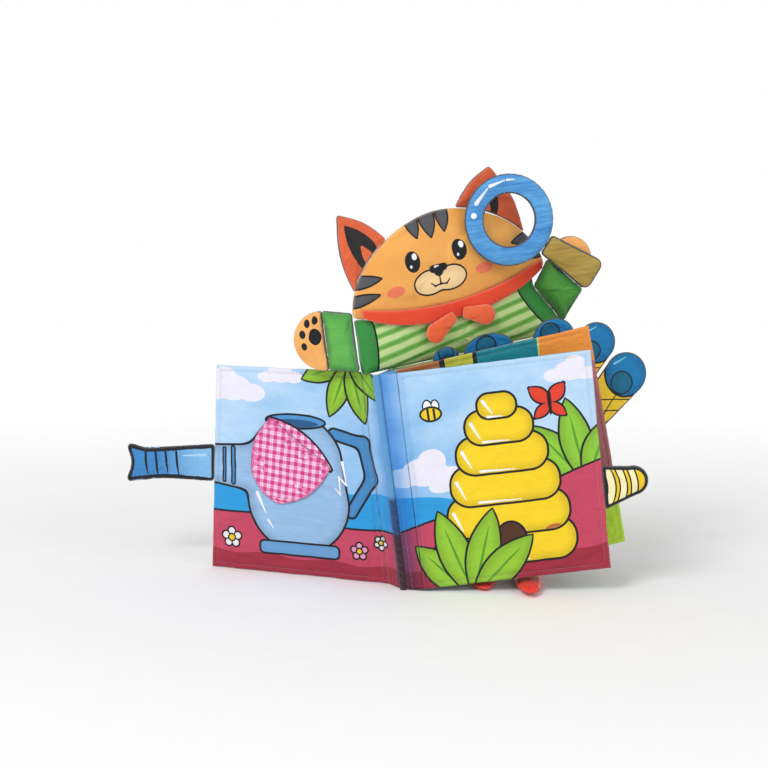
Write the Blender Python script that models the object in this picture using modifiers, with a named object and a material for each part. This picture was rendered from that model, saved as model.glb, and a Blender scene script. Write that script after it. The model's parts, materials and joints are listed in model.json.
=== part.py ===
"""Crinkle cloth book: five padded leaves on a sewn spine, with an animal figure on the back cover.

The origin is where the foot of the spine meets the table. +X is to the reader's right, +Y away
from the reader and +Z up. The book stands open like a fan. Its spine leans a little to the left,
because two soft feet lift the leaves on the right.
"""

import math

import bmesh
import bpy
from mathutils import Matrix, Vector

# Whole book
PAGE_HEIGHT = 0.170
SPINE_LEAN_DEGREES = 7.2
SPINE_LEAN_TOWARDS_DEGREES = 172
STACK_PITCH = 0.005
GAP = 0.0003

# Spine binding
SPINE_RADIUS = 0.003
SPINE_TUCK = 0.002
SPINE_SIDES = 16

# Padded leaves
CLOTH = 0.00045
FILM = 0.00012
LEAF_CROWN = 0.0016
HINGE_CLOTH = 0.0007
LEAF_INNER_RADIUS = 0.016
LEAF_CELLS = 8
HINGE_CELLS = 2
GRID_HALF_SHARE = 0.5
CROWN_POWER = 6
EDGE_CROWD_SHARE = 0.49

# Each leaf: its turn about the spine, its place in the stack, and its outer edge.
# A rise is how far the outer corner stands above the inner one.
FRONT_COVER = {"degrees": 160, "place": -2, "low_width": 0.169, "top_width": 0.159, "height": 0.1665}
LEAF_1 = {"degrees": -2, "place": -1, "low_width": 0.161, "top_width": 0.163, "low_rise": 0.0005, "top_rise": 0.0005}
LEAF_2 = {"degrees": 7, "place": 0, "low_width": 0.1785, "top_width": 0.167, "low_rise": 0.0115, "top_rise": 0.0145}
LEAF_3 = {"degrees": 16, "place": 1, "low_width": 0.167, "top_width": 0.166, "low_rise": 0.0050, "top_rise": 0.0050}
BACK_COVER = {"degrees": 26, "place": 2, "low_width": 0.165, "top_width": 0.166, "low_rise": 0.0060, "top_rise": 0.0040}
COVER_FLOOR_GAP = 0.0003
COVER_CLEAR = 0.0015

# Long wrinkled tab on the front cover
TRUNK_LENGTH = 0.080
TRUNK_ROOT_LOW = 0.0715
TRUNK_ROOT_WIDTH = 0.031
TRUNK_DROP = 0.0105
TRUNK_WAIST = 0.0255
TRUNK_END_WIDTH = 0.0345
TRUNK_NOTCH = 0.005
TRUNK_HALF = 0.0022

# Gingham flap on the front cover, in the cover's plane
FLAP_TOP = (0.0965, 0.1410)
FLAP_INNER = (0.0505, 0.0975)
FLAP_FOOT = (0.0990, 0.0705)
FLAP_OUTER = (0.1190, 0.0985)
FLAP_HALF = 0.0009
FLAP_BULGE_SHARE = 0.13

# Tail tab on leaf 1
TAIL_ROOT_LOW = 0.0460
TAIL_ROOT_WIDTH = 0.0345
TAIL_LENGTH = 0.0345
TAIL_TIP_RADIUS = 0.0115
TAIL_RISE = 0.0035
TAIL_HALF = 0.0032

# Rounded tabs on leaf 3: seam point, tip centre and the tip's radius, in the leaf's plane
TAB_HALF = 0.0018
TAB_STEPS = 12
TAB_SIDE_CELLS = 2
TAB_ROOT_CELLS = 4
TOP_TABS = (
    {"middle": 0.0580, "half_width": 0.0110, "rise": 0.0100},
    {"middle": 0.0930, "half_width": 0.0210, "rise": 0.0135},
    {"middle": 0.1470, "half_width": 0.0175, "rise": 0.0155},
)
SIDE_TABS = (
    {"low": 0.128, "spread": 0.034, "tip": (0.1815, 0.1660), "radius": 0.0160},
    {"low": 0.088, "spread": 0.036, "tip": (0.2035, 0.1370), "radius": 0.0175},
)

# Figure, in the back cover's plane. Its places are given by their distance from the spine and
# their height over the pages.
TORSO_HALF = 0.0042
TORSO_LEFT = -0.0055
TORSO_HIP = (0.1725, 0.0115)
TORSO_SHOULDER = (0.1500, 0.0440)
TORSO_TOP_RIGHT = 0.0730
TORSO_TOP_DROP = 0.0004
TORSO_MIDDLE = (0.0780, 0.0160)
HEAD_CHIN = (0.0765, 0.0510)
HEAD_LEAN_DEGREES = 5.2
HEAD_HALF_WIDTH = 0.085
HEAD_HEIGHT = 0.064
HEAD_HALF = 0.0075
HEAD_POWER = 1.8
HEAD_STEPS = 22
CHIN_SAG = 0.0120
CHIN_STEPS = 12
EAR_HALF = 0.003
# An ear follows the head's outline between two places, given as angles round the head.
LEFT_EAR = {"from_degrees": 124, "to_degrees": 160, "tip": (-0.0120, 0.1245)}
RIGHT_EAR = {"from_degrees": 30, "to_degrees": 76, "tip": (0.1225, 0.1440)}
EAR_TIP_RADIUS = 0.0050
EAR_BULGE_SHARE = 0.08
EAR_GAP = 0.0006
EAR_STEPS = 6
SCARF_HALF = 0.0009
SCARF_WIDTH = 0.0125
SCARF_SAG = 0.0130
SCARF_OUT = 0.0066
SCARF_END = 0.0800
SCARF_CELLS = 10
SCARF_ROWS = 2
SCARF_TAIL_HALF = 0.0010
SCARF_TAIL_OUT = 0.0092
SCARF_KNOT = (0.0765, 0.0360)
SCARF_TAIL_RADIUS = 0.0080
SCARF_TAIL_TIPS = ((0.0550, 0.0230), (0.1000, 0.0300))

# Left arm, which lies above the front cover's top edge
LEFT_ARM_PLACE_SHARE = -0.2
LEFT_ARM_ROOT = 0.0134
LEFT_ARM_WRIST = 0.0378
LEFT_ARM_TIP = 0.0637
LEFT_ARM_WIDTH = 0.0465
ARM_HALF = 0.0055

# Right arm, raised, and the magnifier sewn to its paw
# The sleeve leaves the torso's edge and leans forward until the paw lies behind the handle.
RIGHT_ARM_WRIST = ((0.1785, 0.0375), (0.1525, 0.0655))
RIGHT_PAW_TIP = (0.1710, 0.0635)
RIGHT_PAW_RADIUS = 0.0170
MAGNIFIER_TURN_DEGREES = 12
MAGNIFIER_OFFSET = 0.0222
RING_CENTRE = (0.1229, 0.1001)
RING_OUTER = 0.0352
RING_INNER = 0.0203
RING_HALF = 0.0034
RING_STEPS = 28
RING_SIDES = 10
HANDLE_DEGREES = -39.5
HANDLE_LENGTH = 0.0480
HANDLE_NECK = 0.0170
HANDLE_WIDTH = 0.0270
HANDLE_CORNER = 0.0070
HANDLE_HALF = 0.0033
HANDLE_PIVOT = 0.0600

# Puffy feet on the table, under the leaves
LEFT_FOOT = {"centre": (0.0625, 0.0215), "half_length": 0.0305, "half_width": 0.0105, "height": 0.0066}
RIGHT_FOOT = {"centre": (0.0975, 0.0200), "half_length": 0.0465, "half_width": 0.0115, "height": 0.0096}
SOLE_CUT = 0.0005
LEG_WIDTH = 0.008
LEG_THICKNESS = 0.003

PAD_ROWS = 8
THIN_ROWS = 6
PAD_POWER = 2.6
"""A pad's section is a superellipse of this power, from its sewn edge to its middle."""


# Collections and materials

def clear_scene():
    for obj in list(bpy.data.objects):
        bpy.data.objects.remove(obj, do_unlink=True)


def new_collection(name):
    collection = bpy.data.collections.new(name)
    bpy.context.scene.collection.children.link(collection)
    return collection


def cloth_material(name, colour, roughness=0.85):
    material = bpy.data.materials.new(name)
    material.use_nodes = True
    shader = material.node_tree.nodes["Principled BSDF"]
    shader.inputs["Base Color"].default_value = (*colour, 1)
    shader.inputs["Roughness"].default_value = roughness
    shader.inputs["Metallic"].default_value = 0
    return material


clear_scene()
BOOK = new_collection("crinkle_cloth_book")
CUTTERS = new_collection("cutters")

SKY = cloth_material("sky_print", (0.55, 0.75, 0.90))
LAVENDER = cloth_material("pale_print", (0.75, 0.80, 0.92))
GROUND = cloth_material("rose_print", (0.72, 0.25, 0.35))
GREEN_PRINT = cloth_material("leaf_print", (0.45, 0.66, 0.20))
TEAL_PRINT = cloth_material("teal_print", (0.02, 0.42, 0.50))
BINDING = cloth_material("binding_cloth", (0.12, 0.14, 0.20))
FILM_FINISH = cloth_material("crinkle_film", (0.85, 0.87, 0.88), 0.3)
BATTING_FINISH = cloth_material("batting", (0.93, 0.93, 0.91), 0.95)
BLUE = cloth_material("blue_cloth", (0.22, 0.56, 0.80))
GINGHAM = cloth_material("pink_gingham", (0.90, 0.45, 0.68))
YELLOW = cloth_material("yellow_cloth", (0.93, 0.78, 0.15))
FEATHER = cloth_material("deep_blue_cloth", (0.01, 0.47, 0.68))
ORANGE = cloth_material("orange_plush", (0.93, 0.68, 0.34))
EAR_RED = cloth_material("ear_cloth", (0.88, 0.38, 0.20))
SCARF_RED = cloth_material("scarf_cloth", (0.91, 0.27, 0.14))
SHIRT = cloth_material("striped_cloth", (0.60, 0.78, 0.42))
SLEEVE = cloth_material("sleeve_cloth", (0.30, 0.62, 0.25))
HANDLE_CLOTH = cloth_material("handle_cloth", (0.60, 0.50, 0.20))
SATIN = cloth_material("red_satin", (0.85, 0.08, 0.05), 0.35)


# Frames: empties that carry the leaves and the joints

def frame(name, parent=None, location=(0, 0, 0), turn=0, axis="Z"):
    """An empty with its own Z turn, or Y turn for a lean within a leaf's plane."""
    empty = bpy.data.objects.new(name, None)
    BOOK.objects.link(empty)
    empty.parent = parent
    empty.location = location
    empty.rotation_euler["XYZ".index(axis)] = turn
    return empty


def book_frame():
    """The spine's axis, leaning to one side."""
    empty = frame("book_frame")
    towards = math.radians(SPINE_LEAN_TOWARDS_DEGREES)
    side = Vector((-math.sin(towards), math.cos(towards), 0))
    empty.rotation_euler = Matrix.Rotation(math.radians(SPINE_LEAN_DEGREES), 3, side).to_euler()
    return empty


def local_matrix(empty):
    """World matrix of an empty, before the scene has been updated."""
    matrix = Matrix.LocRotScale(empty.location, empty.rotation_euler, None)
    return local_matrix(empty.parent) @ matrix if empty.parent else matrix


def new_object(name, mesh_builder, parent, material):
    mesh = bpy.data.meshes.new(name)
    mesh_builder.to_mesh(mesh)
    mesh_builder.free()
    mesh.materials.append(material)
    obj = bpy.data.objects.new(name, mesh)
    obj.parent = parent
    BOOK.objects.link(obj)
    return obj


def face_outwards(builder):
    if builder.calc_volume(signed=True) < 0:
        bmesh.ops.reverse_faces(builder, faces=builder.faces)


def add_solidify(obj, thickness):
    """Cloth grows outwards from the face it is drawn on."""
    modifier = obj.modifiers.new("cloth", "SOLIDIFY")
    modifier.thickness = thickness
    modifier.offset = 1


# Leaf shapes

def spread(share):
    """Grid lines drawn towards both ends, where a padded page turns down to its seam."""
    return share - EDGE_CROWD_SHARE * math.sin(math.tau * share) / math.tau


def swell(across, up):
    fall = (1 - abs(2 * across - 1) ** CROWN_POWER) * (1 - abs(2 * up - 1) ** CROWN_POWER)
    return max(fall, 0)


def between(corners, across, up):
    """A place in the plane of a four-cornered leaf: corners run inner low, outer low, outer top, inner top."""
    low = Vector(corners[0]).lerp(Vector(corners[1]), across)
    top = Vector(corners[3]).lerp(Vector(corners[2]), across)
    return low.lerp(top, up)


def unit_grid(x_cells, y_cells):
    """A flat grid of points whose x and y run from 0 to 1, as shares across and up."""
    builder = bmesh.new()
    bmesh.ops.create_grid(builder, x_segments=x_cells, y_segments=y_cells, size=GRID_HALF_SHARE)
    bmesh.ops.translate(builder, verts=builder.verts, vec=(GRID_HALF_SHARE, GRID_HALF_SHARE, 0))
    return builder


def grid_mesh(cells, trim=0):
    """A unit grid with its lines crowded to the edges, and with trim lines left off each side."""
    inside = cells - 2 * trim
    builder = unit_grid(inside, inside)
    for vert in builder.verts:
        line_x = round(vert.co.x * inside) + trim
        line_y = round(vert.co.y * inside) + trim
        vert.co.x = spread(line_x / cells)
        vert.co.y = spread(line_y / cells)
    return builder


def cloth_panel(name, parent, corners, place, side, start, trim, thickness, material):
    """A crowned sheet on one side of the leaf's middle plane."""
    builder = grid_mesh(LEAF_CELLS, trim)
    for vert in builder.verts:
        across, up = vert.co.x, vert.co.y
        flat = between(corners, across, up)
        out = start + LEAF_CROWN * swell(across, up)
        vert.co = (flat.x, place + side * out, flat.y)
    if side > 0:
        bmesh.ops.reverse_faces(builder, faces=builder.faces)
    panel = new_object(name, builder, parent, material)
    add_solidify(panel, thickness)
    return panel


def batting_pad(name, parent, corners, place):
    """The filling: a lens between the film and the back cloth, seam to seam."""
    builder = grid_mesh(LEAF_CELLS, 1)
    grown = bmesh.ops.extrude_face_region(builder, geom=builder.faces[:])
    back = {item for item in grown["geom"] if isinstance(item, bmesh.types.BMVert)}
    for vert in builder.verts:
        across, up = vert.co.x, vert.co.y
        flat = between(corners, across, up)
        reach = GAP / 2 + LEAF_CROWN * swell(across, up)
        out = reach - GAP if vert in back else 2 * GAP + FILM - reach
        vert.co = (flat.x, place + out, flat.y)
    face_outwards(builder)
    return new_object(name, builder, parent, BATTING_FINISH)


def hinge_strip(name, parent, corners, place):
    """Double cloth from the spine to the inner edge of the padded part."""
    inner_low, inner_top = Vector(corners[0]), Vector(corners[3])
    away = math.atan2(place, inner_low.x)
    start = Vector((math.cos(away), math.sin(away))) * (SPINE_RADIUS + GAP)
    end = Vector((inner_low.x - GAP - HINGE_CLOTH / 2, place))
    builder = unit_grid(HINGE_CELLS, HINGE_CELLS)
    for vert in builder.verts:
        across, up = vert.co.x, vert.co.y
        plan = start.lerp(end, across)
        low = inner_low.y * across
        top = PAGE_HEIGHT + (inner_top.y - PAGE_HEIGHT) * across
        vert.co = (plan.x, plan.y, low + (top - low) * up)
    strip = new_object(name, builder, parent, BINDING)
    strip.modifiers.new("cloth", "SOLIDIFY").thickness = HINGE_CLOTH
    strip.modifiers["cloth"].offset = 0
    return strip


def make_leaf(name, book, leaf, corners, front, back):
    """Hinge strip, two cloth panels, crinkle film and batting, on the leaf's own hinge frame."""
    hinge = frame(name + "_hinge_axis", book, turn=math.radians(leaf["degrees"]))
    place = leaf["place"] * STACK_PITCH
    start = GAP / 2
    hinge_strip(name + "_hinge_strip", hinge, corners, place)
    cloth_panel(name + "_front_cloth", hinge, corners, place, -1, start, 0, CLOTH, front)
    cloth_panel(name + "_back_cloth", hinge, corners, place, 1, start, 0, CLOTH, back)
    film_start = start - GAP - FILM
    cloth_panel(name + "_crinkle_film", hinge, corners, place, -1, film_start, 1, FILM, FILM_FINISH)
    batting_pad(name + "_batting", hinge, corners, place)
    return hinge


def leaf_corners(leaf):
    """Inner low, outer low, outer top and inner top, as distance from the spine and height."""
    inner = LEAF_INNER_RADIUS
    low, top = leaf["low_width"], leaf["top_width"]
    low_rise, top_rise = leaf["low_rise"], leaf["top_rise"]
    return (
        (inner, low_rise * inner / low),
        (low, low_rise),
        (top, PAGE_HEIGHT + top_rise),
        (inner, PAGE_HEIGHT + top_rise * inner / top),
    )


def cover_lean(leaf):
    """How far the front cover is turned in its own plane, so that its lower edge lies on the table."""
    turn = math.radians(leaf["degrees"] - SPINE_LEAN_TOWARDS_DEGREES)
    return math.atan(math.tan(math.radians(SPINE_LEAN_DEGREES)) * math.cos(turn))


def cover_corners(leaf):
    lean = cover_lean(leaf)
    lift = COVER_FLOOR_GAP / math.cos(math.radians(SPINE_LEAN_DEGREES))
    low = Vector((math.cos(lean), math.sin(lean))) * leaf["low_width"] + Vector((0, lift))
    rise = Vector((-math.sin(lean), math.cos(lean))) * leaf["height"]
    top = Vector((math.cos(lean), math.sin(lean))) * leaf["top_width"] + rise + Vector((0, lift))
    inner = LEAF_INNER_RADIUS
    slope = (top.y - PAGE_HEIGHT) / top.x
    return (
        (inner, inner * math.tan(lean) + lift),
        tuple(low),
        tuple(top),
        (inner, PAGE_HEIGHT + slope * inner),
    )


# Sewn pads from an outline

def pad(name, parent, outline, half, material, out=0, rows=PAD_ROWS, middle=None, bow=None):
    """A stuffed shape: two crowned faces that meet in a seam along the outline.

    Out moves it off its plane, and bow gives a further distance for each place in the plane.
    """
    builder = bmesh.new()
    count = len(outline)
    bmesh.ops.create_uvsphere(builder, u_segments=count, v_segments=rows, radius=1)
    centre = Vector(middle) if middle else sum((Vector(p) for p in outline), Vector((0, 0))) / count
    for vert in builder.verts:
        step = round(math.atan2(vert.co.y, vert.co.x) * count / math.tau) % count
        share = max(1 - vert.co.z ** 2, 0) ** (1 / PAD_POWER)
        rise = math.copysign(abs(vert.co.z) ** (2 / PAD_POWER), vert.co.z)
        flat = centre + (Vector(outline[step]) - centre) * share
        back = out + (bow(flat) if bow else 0)
        vert.co = (flat.x, back - half * rise, flat.y)
    face_outwards(builder)
    return new_object(name, builder, parent, material)


def straight(start, end, steps):
    """Points from start up to, not including, end."""
    a, b = Vector(start), Vector(end)
    return [a.lerp(b, i / steps) for i in range(steps)]


def bulged(start, end, steps, share):
    """Points from start up to, not including, end, that swell to the left by this share of the length."""
    a, b = Vector(start), Vector(end)
    aside = Vector((a.y - b.y, b.x - a.x)) * share
    return [a.lerp(b, i / steps) + aside * math.sin(math.pi * i / steps) for i in range(steps)]


def arc(centre, radius, start, end, steps):
    """Points along an arc of a circle, both ends included."""
    turn = (end - start) / steps
    return [
        Vector(centre) + Vector((math.cos(start + turn * i), math.sin(start + turn * i))) * radius
        for i in range(steps + 1)
    ]


def tab_outline(low, high, tip, radius, steps=10):
    """A tab sewn along low to high, whose sides run to a round tip."""
    low, high, tip = Vector(low), Vector(high), Vector(tip)
    along = tip - (low + high) / 2
    heading = math.atan2(along.y, along.x)
    quarter = math.pi / 2
    round_end = arc(tip, radius, heading - quarter, heading + quarter, steps)
    points = straight(low, round_end[0], TAB_SIDE_CELLS) + round_end[:-1]
    points += straight(round_end[-1], high, TAB_SIDE_CELLS) + straight(high, low, TAB_ROOT_CELLS)
    return points


def smooth_corner(before, corner, after, radius, steps=3):
    """Points that round a corner, as a curve through the corner's two tangent points."""
    corner = Vector(corner)
    start = corner + (Vector(before) - corner).normalized() * radius
    end = corner + (Vector(after) - corner).normalized() * radius
    points = []
    for i in range(steps + 1):
        share = i / steps
        points.append(start.lerp(corner, share).lerp(corner.lerp(end, share), share))
    return points


# Pieces sewn to the leaves

def edge_frame(name, hinge, corners, place):
    """A frame on a leaf's outer edge: Z runs up the edge, X away from the spine."""
    low, top = Vector(corners[1]), Vector(corners[2])
    lean = math.atan2(top.x - low.x, top.y - low.y)
    return frame(name, hinge, (low.x, place, low.y), lean, "Y")


def make_trunk(hinge, corners, place):
    """A long tab with a waist and a forked end."""
    seam = edge_frame("trunk_tab_seam", hinge, corners, place)
    low, width = TRUNK_ROOT_LOW, TRUNK_ROOT_WIDTH
    far = TRUNK_LENGTH
    neck = far - TRUNK_END_WIDTH / 2

    def beside(x, away):
        """A place this far above the tab's falling middle line."""
        return (x, low + width / 2 - TRUNK_DROP * x / TRUNK_LENGTH + away)

    notch, waist, end = beside(far - TRUNK_NOTCH, 0), TRUNK_WAIST / 2, TRUNK_END_WIDTH / 2
    outline = straight((GAP, low), beside(neck, -waist), 4)
    outline += smooth_corner(beside(neck, -waist), beside(far, -end), notch, TRUNK_NOTCH)
    outline += [Vector(notch)]
    outline += smooth_corner(notch, beside(far, end), beside(neck, waist), TRUNK_NOTCH)
    outline += straight(beside(neck, waist), (GAP, low + width), 4)
    outline += straight((GAP, low + width), (GAP, low), 3)
    pad("trunk_tab", seam, outline, TRUNK_HALF, BLUE, middle=beside(far / 2, 0))


def make_flap(hinge, place):
    """A thin flap that lifts about its sewn upper edge."""
    face = place + GAP / 2 + LEAF_CROWN + CLOTH
    inner, top = Vector(FLAP_INNER), Vector(FLAP_TOP)
    lean = math.atan2(top.x - inner.x, top.y - inner.y)
    seam = frame("ear_flap_seam", hinge, (inner.x, face + GAP + FLAP_HALF, inner.y), lean, "Y")
    turn = Matrix.Rotation(lean, 2)

    def here(point):
        return turn @ (Vector(point) - inner)

    corners = [here(FLAP_INNER), here(FLAP_TOP), here(FLAP_OUTER), here(FLAP_FOOT)]
    middle = sum(corners, Vector((0, 0))) / len(corners)
    outline = straight(corners[0], corners[1], 5)
    for start, end in zip(corners[1:], corners[2:] + corners[:1]):
        outline += bulged(start, end, 5, FLAP_BULGE_SHARE)
    pad("ear_flap", seam, outline, FLAP_HALF, GINGHAM, rows=THIN_ROWS, middle=middle)


def make_tail(hinge, corners, place):
    seam = edge_frame("tail_tab_seam", hinge, corners, place)
    high = TAIL_ROOT_LOW + TAIL_ROOT_WIDTH
    tip = (TAIL_LENGTH - TAIL_TIP_RADIUS, TAIL_ROOT_LOW + TAIL_ROOT_WIDTH / 2 + TAIL_RISE)
    outline = tab_outline((GAP, TAIL_ROOT_LOW), (GAP, high), tip, TAIL_TIP_RADIUS)
    pad("tail_tab", seam, outline, TAIL_HALF, YELLOW)


def make_round_tabs(hinge, corners, place):
    """Tabs in the leaf's plane: three along its top edge, two along its outer edge."""
    outer_low, outer_top, inner_top = (Vector(corner) for corner in corners[1:])
    slope = (outer_top.y - inner_top.y) / (outer_top.x - inner_top.x)
    for number, tab in enumerate(TOP_TABS, 1):
        outline = []
        for i in range(TAB_STEPS + 1):
            angle = math.pi * i / TAB_STEPS
            x = tab["middle"] + tab["half_width"] * math.cos(angle)
            seam = inner_top.y + slope * (x - inner_top.x) + GAP
            outline.append(Vector((x, seam + tab["rise"] * math.sin(angle))))
        outline += straight(outline[-1], outline[0], 4)[1:]
        pad(f"round_tab_{number}", hinge, outline, TAB_HALF, FEATHER, place, THIN_ROWS)
    for number, tab in enumerate(SIDE_TABS, len(TOP_TABS) + 1):
        seam = edge_frame(f"round_tab_{number}_seam", hinge, corners, place)
        lean = seam.rotation_euler.y
        tip = Matrix.Rotation(lean, 2) @ (Vector(tab["tip"]) - outer_low)
        low = tab["low"] - outer_low.y
        outline = tab_outline((GAP, low), (GAP, low + tab["spread"]), tip, tab["radius"])
        pad(f"round_tab_{number}", seam, outline, TAB_HALF, FEATHER, rows=THIN_ROWS)


# Figure

def over_pages(place):
    """A place given by its height over the pages, in the plane of a leaf."""
    return Vector((place[0], PAGE_HEIGHT + place[1]))


def head_point(x, z):
    """A place in the head's own axes, as a place in the back cover's plane."""
    lean = Matrix.Rotation(math.radians(HEAD_LEAN_DEGREES), 2)
    return over_pages(HEAD_CHIN) + lean @ Vector((x, z))


def chin_line(lower):
    """The head's round lower edge from left to right, lowered by this much."""
    across = [2 * i / CHIN_STEPS - 1 for i in range(CHIN_STEPS + 1)]
    return [head_point(HEAD_HALF_WIDTH * x, -CHIN_SAG * (1 - x * x) - lower) for x in across]


def make_torso(hinge, corners, place):
    top = chin_line(TORSO_TOP_DROP)
    side = head_point(TORSO_TOP_RIGHT, 0).x
    inside = [point for point in top if point.x < side]
    after = top[len(inside)]
    right = inside[-1].lerp(after, (side - inside[-1].x) / (after.x - inside[-1].x))
    outer_top, inner_top = Vector(corners[2]), Vector(corners[3])
    slope = (outer_top.y - inner_top.y) / (outer_top.x - inner_top.x)
    low_left = (TORSO_LEFT, inner_top.y + slope * (TORSO_LEFT - inner_top.x) + COVER_CLEAR)
    low_right = (outer_top.x, outer_top.y + GAP)
    hip, shoulder = over_pages(TORSO_HIP), over_pages(TORSO_SHOULDER)
    outline = straight(low_left, low_right, 8) + straight(low_right, hip, 1) + straight(hip, shoulder, 3)
    outline += [shoulder, right] + inside[:0:-1] + straight(top[0], low_left, 3)
    pad("torso_panel", hinge, outline, TORSO_HALF, SHIRT, place, middle=over_pages(TORSO_MIDDLE))


def head_edge(angle, grow=0):
    """A place on the head's round outline, or as far outside it as grow."""
    x = math.copysign(abs(math.cos(angle)) ** (2 / HEAD_POWER), math.cos(angle))
    z = math.sin(angle) ** (2 / HEAD_POWER)
    return head_point((HEAD_HALF_WIDTH + grow) * x, (HEAD_HEIGHT + grow) * z)


def make_head(hinge, place):
    outline = [head_edge(math.pi * i / HEAD_STEPS) for i in range(HEAD_STEPS)]
    outline += chin_line(0)[:-1]
    pad("head", hinge, outline, HEAD_HALF, ORANGE, place, middle=head_point(0, HEAD_HEIGHT / 3))


def make_ear(name, hinge, place, ear):
    first, last = math.radians(ear["from_degrees"]), math.radians(ear["to_degrees"])
    turn = (last - first) / EAR_STEPS
    outline = [head_edge(first + turn * i, EAR_GAP) for i in range(EAR_STEPS + 1)]
    start, end, tip = outline[0], outline[-1], over_pages(ear["tip"])
    round_tip = smooth_corner(end, tip, start, EAR_TIP_RADIUS)
    outline += bulged(end, round_tip[0], 4, EAR_BULGE_SHARE)[1:] + round_tip
    outline += bulged(round_tip[-1], start, 4, EAR_BULGE_SHARE)[1:]
    pad(name, hinge, outline, EAR_HALF, EAR_RED, place, THIN_ROWS)


def make_scarf(hinge, place):
    """A band that sags under the chin, with two round tails at its knot."""
    builder = unit_grid(SCARF_CELLS, SCARF_ROWS)
    for vert in builder.verts:
        across, down = 2 * vert.co.x - 1, vert.co.y
        top = SCARF_WIDTH / 2 - SCARF_SAG * (1 - across ** 2)
        narrow = 1 - across ** 4 / 2
        spot = head_point(SCARF_END * across, top - SCARF_WIDTH * narrow * down)
        vert.co = (spot.x, place - SCARF_OUT, spot.y)
    band = new_object("scarf_band", builder, hinge, SCARF_RED)
    band.modifiers.new("cloth", "SOLIDIFY").thickness = 2 * SCARF_HALF
    band.modifiers["cloth"].offset = 0
    knot = over_pages(SCARF_KNOT)
    for side, tip in zip(("left", "right"), map(over_pages, SCARF_TAIL_TIPS)):
        along = (tip - knot).normalized()
        across = Vector((-along.y, along.x)) * SCARF_TAIL_RADIUS / 2
        start = knot + along * SCARF_TAIL_RADIUS / 2
        outline = tab_outline(start - across, start + across, tip, SCARF_TAIL_RADIUS)
        pad(f"scarf_tail_{side}", hinge, outline, SCARF_TAIL_HALF, SCARF_RED, place - SCARF_TAIL_OUT, THIN_ROWS)


def make_left_arm(book, corners, leaf):
    """Sleeve and paw in the front cover's plane, just above its top edge."""
    turn = frame("left_arm_plane", book, turn=math.radians(leaf["degrees"]))
    inner_top, outer_top = Vector(corners[3]), Vector(corners[2])
    slope = (outer_top.y - inner_top.y) / (outer_top.x - inner_top.x)
    foot = inner_top.y + COVER_CLEAR

    def low(x):
        return foot + slope * (x - inner_top.x)

    root, wrist, tip = LEFT_ARM_ROOT, LEFT_ARM_WRIST, LEFT_ARM_TIP
    seam = frame("left_arm_seam", turn, (root, LEFT_ARM_PLACE_SHARE * STACK_PITCH, foot))

    def here(x, z):
        return Vector((x - root, z - foot))

    def top(x):
        return low(x) + LEFT_ARM_WIDTH

    sleeve = straight(here(root, low(root)), here(wrist, low(wrist)), 4)
    sleeve += straight(here(wrist, low(wrist)), here(wrist, top(wrist)), 5)
    sleeve += straight(here(wrist, top(wrist)), here(root, top(root)), 4)
    sleeve += straight(here(root, top(root)), here(root, low(root)), 5)
    pad("left_sleeve", seam, sleeve, ARM_HALF, SLEEVE)
    start = wrist + GAP
    middle = (low(start) + top(start)) / 2
    quarter = math.pi / 2
    paw = []
    steps = 14
    for i in range(steps + 1):
        angle = -quarter + 2 * quarter * i / steps
        paw.append(here(start + (tip - start) * math.cos(angle), middle + LEFT_ARM_WIDTH / 2 * math.sin(angle)))
    paw += straight(paw[-1], paw[0], 5)[1:]
    pad("left_paw", seam, paw, ARM_HALF, ORANGE)


def make_right_arm(book, cover_turn, place):
    """A sleeve that leans forward from the torso, and a paw that lies flat behind the handle."""
    plane_turn = math.radians(MAGNIFIER_TURN_DEGREES)
    turn = frame("right_arm_plane", book, turn=plane_turn)
    paw_offset = MAGNIFIER_OFFSET + HANDLE_HALF + GAP + ARM_HALF
    wrist_low, wrist_high = map(over_pages, RIGHT_ARM_WRIST)
    across = (wrist_high - wrist_low).normalized()
    along = Vector((across.y, -across.x))
    between_planes = cover_turn - plane_turn

    def seen(point):
        """A place on the torso's edge, brought into the arm's plane."""
        x = point.x * math.cos(between_planes) - place * math.sin(between_planes)
        return Vector((x, point.y)) + along * GAP

    hip, shoulder = over_pages(TORSO_HIP), over_pages(TORSO_SHOULDER)
    root_low, root_high = seen(hip), seen(shoulder)
    torso_depth = hip.x * math.sin(between_planes) + place * math.cos(between_planes)
    slope = (torso_depth - paw_offset) / (wrist_low - root_low).dot(along)

    def depth(point):
        """How far back the sleeve is at this place of the arm's plane."""
        return paw_offset + slope * max((wrist_low - point).dot(along), 0)

    origin = (root_low + root_high) / 2
    seam = frame("right_arm_seam", turn, (origin.x, depth(origin), origin.y))

    def bow(point):
        return depth(point + origin) - depth(origin)

    def here(points):
        return [point - origin for point in points]

    sleeve = straight(root_low, wrist_low, 4) + straight(wrist_low, wrist_high, 6)
    sleeve += straight(wrist_high, root_high, 4) + straight(root_high, root_low, 6)
    pad("right_sleeve", seam, here(sleeve), ARM_HALF, SLEEVE, bow=bow)
    low, high = wrist_low + along * GAP, wrist_high + along * GAP
    paw = tab_outline(low, high, over_pages(RIGHT_PAW_TIP), RIGHT_PAW_RADIUS)
    pad("right_paw", seam, here(paw), ARM_HALF, ORANGE, paw_offset - depth(origin))


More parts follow.
